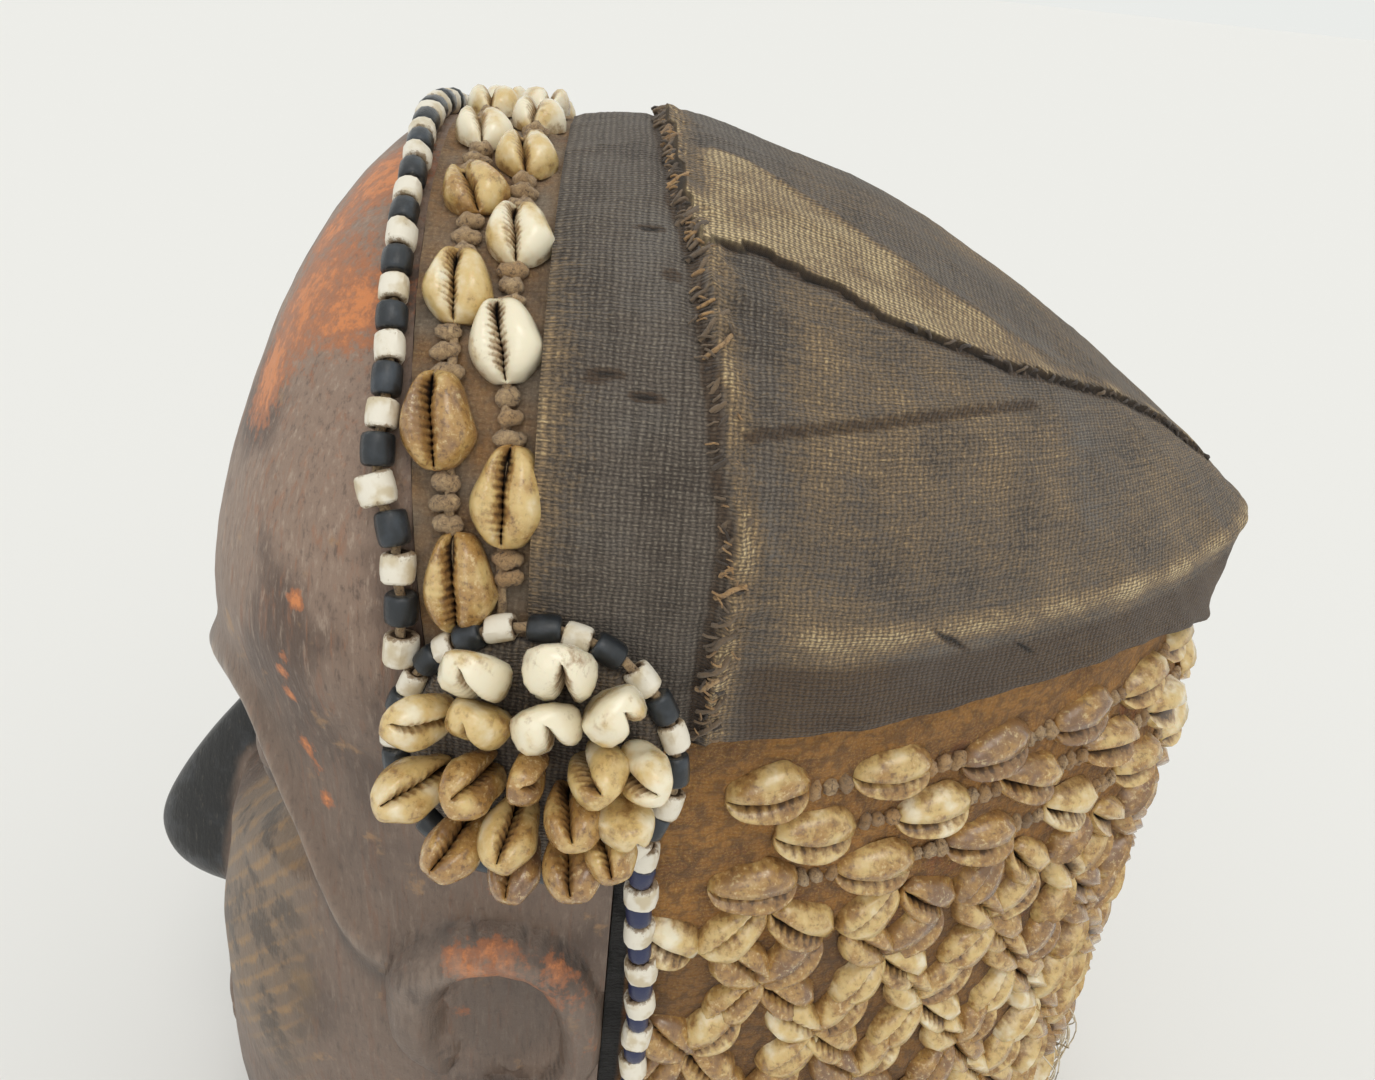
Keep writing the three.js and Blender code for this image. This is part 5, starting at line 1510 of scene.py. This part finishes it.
# %% [markdown]
# The pad under the shells is a disc of dark cloth, slightly domed and rough. A disc of rings is enough,
# with the roughness in the mesh. The thread that carries the beads shows in the gaps between them as
# a thin twisted cord, which is a tube swept along the same path as the beads.

# %% Cords along a path
def swept(path, radius, sides=8, twist=1.2, seed=0, closed=False):
    """A twisted cord along a path in metres: points and faces."""
    path = np.asarray(path)
    ahead, behind = np.roll(path, -1, axis=0), np.roll(path, 1, axis=0)
    if not closed:
        ahead[-1], behind[0] = path[-1], path[0]
    along = unit(ahead - behind)
    across = unit(np.cross(along, UP + 0.01))
    other = np.cross(along, across)
    so_far = travelled(path)[:, None] / MM
    spin = np.arange(sides) * 2 * math.pi / sides + 0 * so_far
    wide = radius * (1 + 0.18 * np.cos(3 * spin + twist * so_far)) * MM
    points = path[:, None, :] + wide[..., None] * (
        np.cos(spin)[..., None] * across[:, None, :] + np.sin(spin)[..., None] * other[:, None, :])
    points = points + 0.12 * radius * MM * noise(points / MM, 2 * radius, seed)[..., None]
    points = points.reshape(-1, 3)
    faces = grid_faces(len(path), sides, closed=True)
    if closed:
        last = len(points) - sides
        faces += [[last + j, last + (j + 1) % sides, (j + 1) % sides, j] for j in range(sides)]
    else:
        faces += flat_ends(len(points), sides)
    return points, faces


def cord_piece(name, cords, tint=0.2):
    """One piece of several cords, each as points and faces."""
    points, faces, first = [], [], 0
    for cord_points, cord_faces in cords:
        points.append(cord_points)
        faces += [[v + first for v in face] for face in cord_faces]
        first += len(cord_points)
    points = np.concatenate(points)
    return report(make_piece(name, points, faces, raffia_cord, None, {"tint": np.full(len(points), tint)}))


thread_s = np.linspace(-153, 157, 220)
edging_thread = cord_piece("edging_thread", [swept(along_path(edge_at, edge_s, thread_s), 1.0)])
cords = []
for column_y, drift in COLUMNS:
    x, depth, _, _ = on_arch(np.linspace(-146, 146, 240), -1.5)
    cords.append(swept(place(x, column_y + bead_y(depth) * drift, depth), 1.0))
band_cords = cord_piece("band_cords", cords, 0.15)

# %% Rosette pads and their threads
PAD_SIDES = 72
PAD_PROFILE = [(23, -2.4), (26.8, -2.0), (27.2, -0.6), (26.4, 0.9), (24, 1.5), (20, 1.7), (16, 1.9),
               (12, 2.1), (8, 2.3), (4, 2.4), (0.5, 2.4)]  # radius, height over the middle of the ring
for side, name in SIDES:
    centre, normal, up, back_way = rosette_axes(side)
    angle = np.linspace(0, 2 * math.pi, PAD_SIDES, endpoint=False)
    circle = np.cos(angle)[:, None] * back_way + np.sin(angle)[:, None] * up
    rosette_pieces[f"ring_thread_{name}"] = cord_piece(
        f"rosette_thread_{name}", [swept(centre + circle * RING_RADIUS * MM, 1.1, closed=True)])
    rings = []
    for radius, lift in PAD_PROFILE:
        ring = centre + (circle * radius + normal * lift) * MM
        bumps = 0.5 * noise(ring / MM, 2.2, 31) + 0.4 * noise(ring / MM, 5, 32)
        rings.append(ring + normal * (bumps * (lift > 0))[:, None] * MM)
    pad_points = np.concatenate(rings)
    faces = grid_faces(len(rings), PAD_SIDES, closed=True) + flat_ends(len(pad_points), PAD_SIDES)
    pad_uv = np.stack([(pad_points - centre) @ back_way, (pad_points - centre) @ up], axis=-1) / MM
    marks = {"worn": 0.25 + 0.2 * noise(pad_points / MM, 6, 33), "shadow": 0 * pad_points[:, 0]}
    rosette_pieces[f"rosette_pad_{name}"] = report(
        make_piece(f"rosette_pad_{name}_cloth", pad_points, faces, dark_cloth, pad_uv, marks))

# %% [markdown]
# A string of beads hangs from each rosette, down the join between the wood and the neck cloth, to the
# rim. White beads take turns with shorter and thinner clear blue ones. It is a path with beads along
# it, like the edging, but its beads are of unequal length, so each one's place is summed up from the top.

# %% Hanging strings
DROP_TOP, DROP_BEADS = 146.0, 40
hanging = {}
for side, name in SIDES:
    blue = np.arange(DROP_BEADS) % 2 == 1
    bead_long = np.where(blue, 5.2, 7.2) * np.random.default_rng(60 + side).uniform(0.86, 1.14, DROP_BEADS)
    depth = DROP_TOP + np.cumsum(bead_long + 0.5) - bead_long / 2
    blue, bead_long, depth = blue[depth < CROWN - 4], bead_long[depth < CROWN - 4], depth[depth < CROWN - 4]
    wave = 1.2 * noise(np.stack([depth, depth * 0], axis=-1), 22, 40 + side)
    y = 60.5 + 3 * smooth((depth - 150) / 60) + wave
    drop_at = place(side * (side_below(depth) + 1.6), y, depth)
    down_way = unit(np.gradient(drop_at, axis=0))
    away = np.broadcast_to(np.array([side, 0.0, 0.1]), drop_at.shape)
    hanging[name] = string_beads(f"hanging_beads_{name}", drop_at, down_way, away, blue, bead_long,
                                 np.where(blue, 3.2, 4.1), 50 + side, tilt=10, dark_tint=2.0)
    long_depth = np.linspace(DROP_TOP - 12, CROWN - 2, 120)
    long_y = np.interp(long_depth, depth, y)
    cord_at = place(side * (side_below(long_depth) + 1.6), long_y, long_depth)
    hanging[name + " thread"] = cord_piece(f"hanging_thread_{name}", [swept(cord_at, 1.0)])

# %% [markdown]
# On the neck the shells are sewn in three rows under the cap, like courses of bricks, and below them in
# a net: a shell on each side of every diamond, so that four meet in a star. The neck's girth at each
# depth is tabulated, and places are given by how far round it they are.

# %% Places on the neck
NECK_MIDDLE = (0, 100)  # x and y of a place inside, which tells the way out


def on_neck(around, depth, lift=0.0):
    """Places on the neck: points in metres, the way out and the way round."""
    levels, level_of = np.unique(depth, return_inverse=True)
    x, y, _, length = neck_grid(levels, girth_turns, 0)
    plans = np.stack([x, y], axis=-1)
    found = [along_path(plans[level], length[level], np.array([s - 1, s, s + 1]))
             for s, level in zip(around, level_of)]
    before, at, after = np.array(found).transpose(1, 0, 2)
    way = unit(np.append(after - before, np.zeros((len(at), 1)), axis=1))
    out = np.stack([way[:, 1], -way[:, 0], 0 * way[:, 0]], axis=-1)
    out = out * np.sign((out[:, :2] * (at - NECK_MIDDLE)).sum(-1))[:, None]
    return place(at[:, 0], at[:, 1], depth) + out * lift * MM, out, way


back_of_neck = on_neck([girth / 2], np.array([200.0]))[0][0]
print("the back of the neck, 200 mm down, is at", [round(float(v), 3) for v in back_of_neck])

# %% Rows of shells
ROWS = ((137, 35, 33), (151, 51, 33), (168, 36, 34))  # depth, first shell from the front edge, spacing
around, depths, lean, knot_around, knot_depth = [], [], [], [], []
for row_depth, first, pitch in ROWS:
    row = np.arange(first, girth / 2, pitch)
    row = np.concatenate([row, girth - row])
    around += list(row)
    depths += [row_depth] * len(row)
    lean += [0.0] * len(row)
    for offset in (-4.2, 0, 4.2):
        knot_around += list(row + pitch / 2 + offset)
        knot_depth += [row_depth] * len(row)
row_shells = len(around)
print("shells in the rows:", row_shells)

# %% Net of shells
NET_PITCH, NET_ROW, NET_TOP, NET_LEVELS = 37.5, 27.5, 206.0, 7
STAR_ACROSS, STAR_DOWN = 6.6, 7.3  # middle of a star to the middle of each of its four shells
for level in range(NET_LEVELS):
    shift = 0.0 if level % 2 else NET_PITCH / 2
    stars = np.arange(24 + shift, girth / 2 + 1, NET_PITCH)
    stars = np.concatenate([stars, (girth - stars)[girth - stars > girth / 2 + 1]])
    knot_around += list(stars)
    knot_depth += [NET_TOP + NET_ROW * level] * len(stars)
    for s, across, down in itertools.product(stars, (-1, 1), (-1, 1)):
        around.append(s + STAR_ACROSS * across)
        depths.append(NET_TOP + NET_ROW * level + STAR_DOWN * down)
        lean.append(math.atan2(STAR_DOWN * down, STAR_ACROSS * across))
for s in np.arange(14, girth, NET_PITCH / 2):
    around.append(s)
    depths.append(NET_TOP - 21)
    lean.append(0.7 if len(around) % 2 else 2.4)
print("shells in the net:", len(around) - row_shells)

# %% Shells on the neck
rng = np.random.default_rng(12)
around = np.array(around) + rng.normal(0, 0.7, len(around))
depths = np.array(depths) + np.round(rng.normal(0, 0.7, len(depths)), 1)
lean = np.array(lean) + rng.normal(0, 0.12, len(lean))
big = np.where(np.arange(len(around)) < row_shells, 1.12, 1.03)
inside = (around > 9) & (around < girth - 9) & (depths < CROWN - 8)
around, depths, lean, big = around[inside], depths[inside], lean[inside], big[inside]
neck_at, neck_out, way = on_neck(around, depths, -0.6)
along = np.cos(lean)[:, None] * way + np.sin(lean)[:, None] * -UP
NECK_SIZE = (20.0, 14.6, 6.8)
NECK_SHELLS = [cowrie(f"neck cowrie {seed}", stations=20, per_tooth=2, seed=seed, size=NECK_SIZE, thin=2,
                      stain=0.2) for seed in (4, 6, 11)]
NECK_SHELLS += [cowrie(f"plain cowrie {seed}", stations=8, per_tooth=8, seed=seed, size=NECK_SIZE, thin=4,
                       stain=0.2) for seed in (4, 6)]
seen_near = (neck_at[:, 0] > 0) & (neck_at[:, 1] < 0.12)
kinds = np.where(seen_near, rng.integers(0, 3, len(neck_at)), rng.integers(3, 5, len(neck_at)))
print("detailed shells", int(seen_near.sum()), "plainer shells", int((~seen_near).sum()))
neck_cowries = sew("neck_cowries", NECK_SHELLS, neck_at, along, neck_out, cowrie_shell,
                   big[:, None] * rng.uniform(0.92, 1.06, (len(neck_at), 3)), kinds,
                   np.clip(rng.normal(0.7, 0.14, len(neck_at)), 0, 1), tilt=6, seed=8)

# %% Knots on the neck
knot_around, knot_depth = np.array(knot_around), np.array(knot_depth, float)
inside = (knot_around > 6) & (knot_around < girth - 6)
knot_at, knot_out, way = on_neck(knot_around[inside], knot_depth[inside], -0.4)
neck_knots = sew("neck_knots", KNOTS, knot_at, way, knot_out, raffia_cord,
                 rng.uniform(0.8, 1.15, (len(knot_at), 3)), rng.integers(0, 3, len(knot_at)),
                 rng.uniform(0.2, 0.65, len(knot_at)), tilt=20, seed=9)

# %% [markdown]
# Low on the back, pale loose fibres stand off the neck cloth where it has begun to fray. Each is a
# thin strand that starts on the cloth, bows outwards and comes back to it near the rim. They are swept
# tubes like the cords, because hair curves would be lost in the export.

# %% Loose fibres on the neck
FIBRES, FIBRE_POINTS = 84, 12
rng = np.random.default_rng(31)
t = np.linspace(0, 1, FIBRE_POINTS)[None, :]
start, bow = rng.uniform(165, 262, (FIBRES, 1)), rng.uniform(3, 10, (FIBRES, 1))
top, long = rng.uniform(296, 338, (FIBRES, 1)), rng.uniform(30, 60, (FIBRES, 1))
fibre_depth = np.minimum(top + long * t, CROWN - 2 - 3 * rng.uniform(0, 1, (FIBRES, 1)) * t)
fibre_around = start + rng.normal(0, 9, (FIBRES, 1)) * t + 2.5 * np.sin(5 * t + start)
fibre_at, fibre_out, _ = on_neck(fibre_around.ravel(), fibre_depth.ravel(), -0.5)
fibre_at = fibre_at + fibre_out * (bow * np.sin(math.pi * t**0.8)).reshape(-1, 1) * MM
fibres = [swept(path, 0.28, sides=4, twist=0.0, seed=number)
          for number, path in enumerate(fibre_at.reshape(FIBRES, FIBRE_POINTS, 3))]
neck_fibres = cord_piece("neck_fibres", fibres, -0.6)

# %% [markdown]
# The front seam of the cap is sewn with long slanting stitches of raffia, and the top fold with short
# dark ones. Much thinner threads, at all angles, are the frayed edge of the cloth under them. A stitch
# is a bent strand that dives into the cloth at both ends. Each is placed on the seam path and lies
# across it at a slant.

# %% Stitch shapes and places
def stitch_shape(name, seed):
    """A strand 8 mm long and 1.2 mm thick, arched 1.5 mm."""
    t = np.linspace(-1, 1, 9)
    path = np.stack([4 * t, 0.35 * np.sin(3 * t + seed), 1.5 * (1 - t**2) - 0.75], axis=-1) * MM
    points, faces = swept(path, 0.62, sides=6, twist=2.0, seed=seed)
    return shape(name, points / MM, faces, {"dirt_and_shade": np.zeros(len(points))}, 80)


def path_places(path, spacing, rng):
    """Places about every spacing along a path, and the way the path goes there."""
    path = np.array(path, float)
    length = travelled(path)
    s = np.arange(spacing, length[-1] - 1, spacing)
    s = s + rng.normal(0, spacing * 0.15, len(s))
    at = along_path(path, length, s)
    return at, unit(along_path(path, length, s + 1) - at)


def cap_out(at):
    """The way out of the cap near a place on it: away from a line 88 mm down, and a little back."""
    return unit(np.stack([at[:, 0], 10 + 0 * at[:, 0], 88 - at[:, 2]], axis=-1))


STITCHES = [stitch_shape(f"stitch {seed}", seed) for seed in (1, 4)]
print("a stitch has", triangles(STITCHES[0]), "triangles")

# %% Stitches
SEWN = [
    # seam, spacing, slant, length and thickness against a plain stitch, shade, height over the cloth
    (FRONT_SEAM, 5.6, 0.75, 1.0, 1.1, 0.76, 1.5), (FRONT_SEAM[:5], 2.6, 0.45, 0.7, 0.8, 0.66, 1.5),
    (FRONT_SEAM, 2.0, 0.5, 0.42, 0.45, 0.82, 1.6), (FRONT_SEAM, 1.8, -0.4, 0.36, 0.36, 0.66, 1.8),
    (TOP_FOLD[4:], 6.0, 1.2, 0.42, 0.7, 0.95, 0.6),
]
FRAYED_UNDER = 0.6  # strands thinner than this are frayed threads, which lie at all angles
at, along, out, size, tints = [], [], [], [], []
rng = np.random.default_rng(21)
for (path, spacing, slant, long, thick, shade, lifted), side in itertools.product(SEWN, (1, -1)):
    turning, straying = (0.6, 1.6) if thick < FRAYED_UNDER else (0.15, 0.3)
    places, way = path_places(path, spacing, rng)
    outward = cap_out(places)
    way = way * (1, 1, -1)
    way = unit(way - outward * (way * outward).sum(-1, keepdims=True))
    cross_way = np.cross(outward, way)
    cross_way = cross_way * np.where(cross_way[:, 1:2] < 0, -1, 1)
    angle = slant + rng.normal(0, turning, len(way))
    lying = np.cos(angle)[:, None] * cross_way - np.sin(angle)[:, None] * way
    mirror = np.array([side, 1, 1])
    spread = rng.normal(0, straying, (len(way), 1)) * cross_way
    at.append(place(places[:, 0] * side, places[:, 1], places[:, 2])
              + (outward * lifted + spread) * mirror * MM)
    along.append(lying * mirror)
    out.append(outward * mirror)
    size.append(rng.uniform(0.75, 1.15, (len(way), 3)) * (long, thick, 0.4 + 0.6 * thick))
    tints.append(np.clip(rng.normal(shade, 0.12, len(way)), 0, 1))
at, along, out, size, tints = (np.concatenate(v) for v in (at, along, out, size, tints))
cap_stitches = sew("cap_stitches", STITCHES, at, along, out, raffia_cord, size,
                   np.arange(len(at)) % 2, tints, tilt=6, seed=3)

# %% [markdown]
# The mask stands on a plain pale floor that runs far back, under a pale sky, with one broad soft light
# overhead and a weaker one from the side. Nothing in the lighting belongs to the object.

# %% Floor and light
FLOOR = 80.0  # half its width in metres, so that its edge is far off
studio_white, tree = new_finish("studio_floor_matt")
finish_with(tree, "#e9e8e6", 0.9, [])
floor = bpy.data.objects.new("floor", bpy.data.meshes.new("floor"))
corners = [(-FLOOR, -FLOOR, 0), (FLOOR, -FLOOR, 0), (FLOOR, FLOOR, 0), (-FLOOR, FLOOR, 0)]
floor.data.from_pydata(corners, [], [(0, 1, 2, 3)])
floor.data.materials.append(studio_white)
bpy.context.scene.collection.objects.link(floor)

world = bpy.data.worlds.new("studio")
world.use_nodes = True
sky = world.node_tree.nodes["Background"].inputs
sky["Color"].default_value = linear("#f3f5f2")
sky["Strength"].default_value = 0.92
bpy.context.scene.world = world


def soft_sun(name, comes_from, spread, power, colour):
    lamp = bpy.data.lights.new(name, "SUN")
    lamp.angle, lamp.energy = math.radians(spread), power
    lamp.color = linear(colour)[:3]
    light = bpy.data.objects.new(name, lamp)
    light.rotation_euler = Vector(comes_from).to_track_quat("Z", "Y").to_euler()
    bpy.context.scene.collection.objects.link(light)


soft_sun("overhead", (0.45, 0.1, 1.0), 28, 0.6, "#fffaf4")
soft_sun("from the side", (1.0, -0.3, 0.7), 30, 0.25, "#f8f9ff")
bpy.context.scene.view_settings.view_transform = "Standard"
print("lights:", len(bpy.data.lights))

# %% [markdown]
# Last, every piece is attached to the body it rides on, the pieces are listed by material slot, and
# the CAD parts they stand for are hidden. Nothing moves, so all of it rides on the one body.

# %% Attach the pieces and hide the CAD parts
SLOTS = {
    "carved_wood": [wooden_face],
    "dark_cloth": [cap_cloth],
    "cowrie_shell": [band_cowries, neck_cowries],
    "glass_beads": [bead_edging],
    "raffia_cloth": [headband, neck_cloth, band_knots, band_cords, neck_knots, neck_fibres, cap_stitches,
                     edging_thread],
}
ROSETTE_SLOTS = {"rosette_pad": "dark_cloth", "rosette_shells": "cowrie_shell",
                 "rosette_beads": "glass_beads", "ring_thread": "raffia_cloth"}
for part, slot in ROSETTE_SLOTS.items():
    SLOTS[slot] += [rosette_pieces[f"{part}_{name}"] for _, name in SIDES]
SLOTS["glass_beads"] += [hanging[name] for _, name in SIDES]
SLOTS["raffia_cloth"] += [hanging[name + " thread"] for _, name in SIDES]
for slot, pieces in SLOTS.items():
    for piece in pieces:
        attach(piece, "root")
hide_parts("wooden_face")
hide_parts("cap_cloth")
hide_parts("headband_cloth")
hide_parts("neck_cloth")
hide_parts("bead_edging")
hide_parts(*[f"band_cowrie_{number:02d}" for number in range(1, 22)])
for part, (_, name) in itertools.product(("rosette_pad", "rosette_beads", "rosette_shells"), SIDES):
    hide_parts(f"{part}_{name}")
print("triangles in all:", sum(triangles(piece) for pieces in SLOTS.values() for piece in pieces))
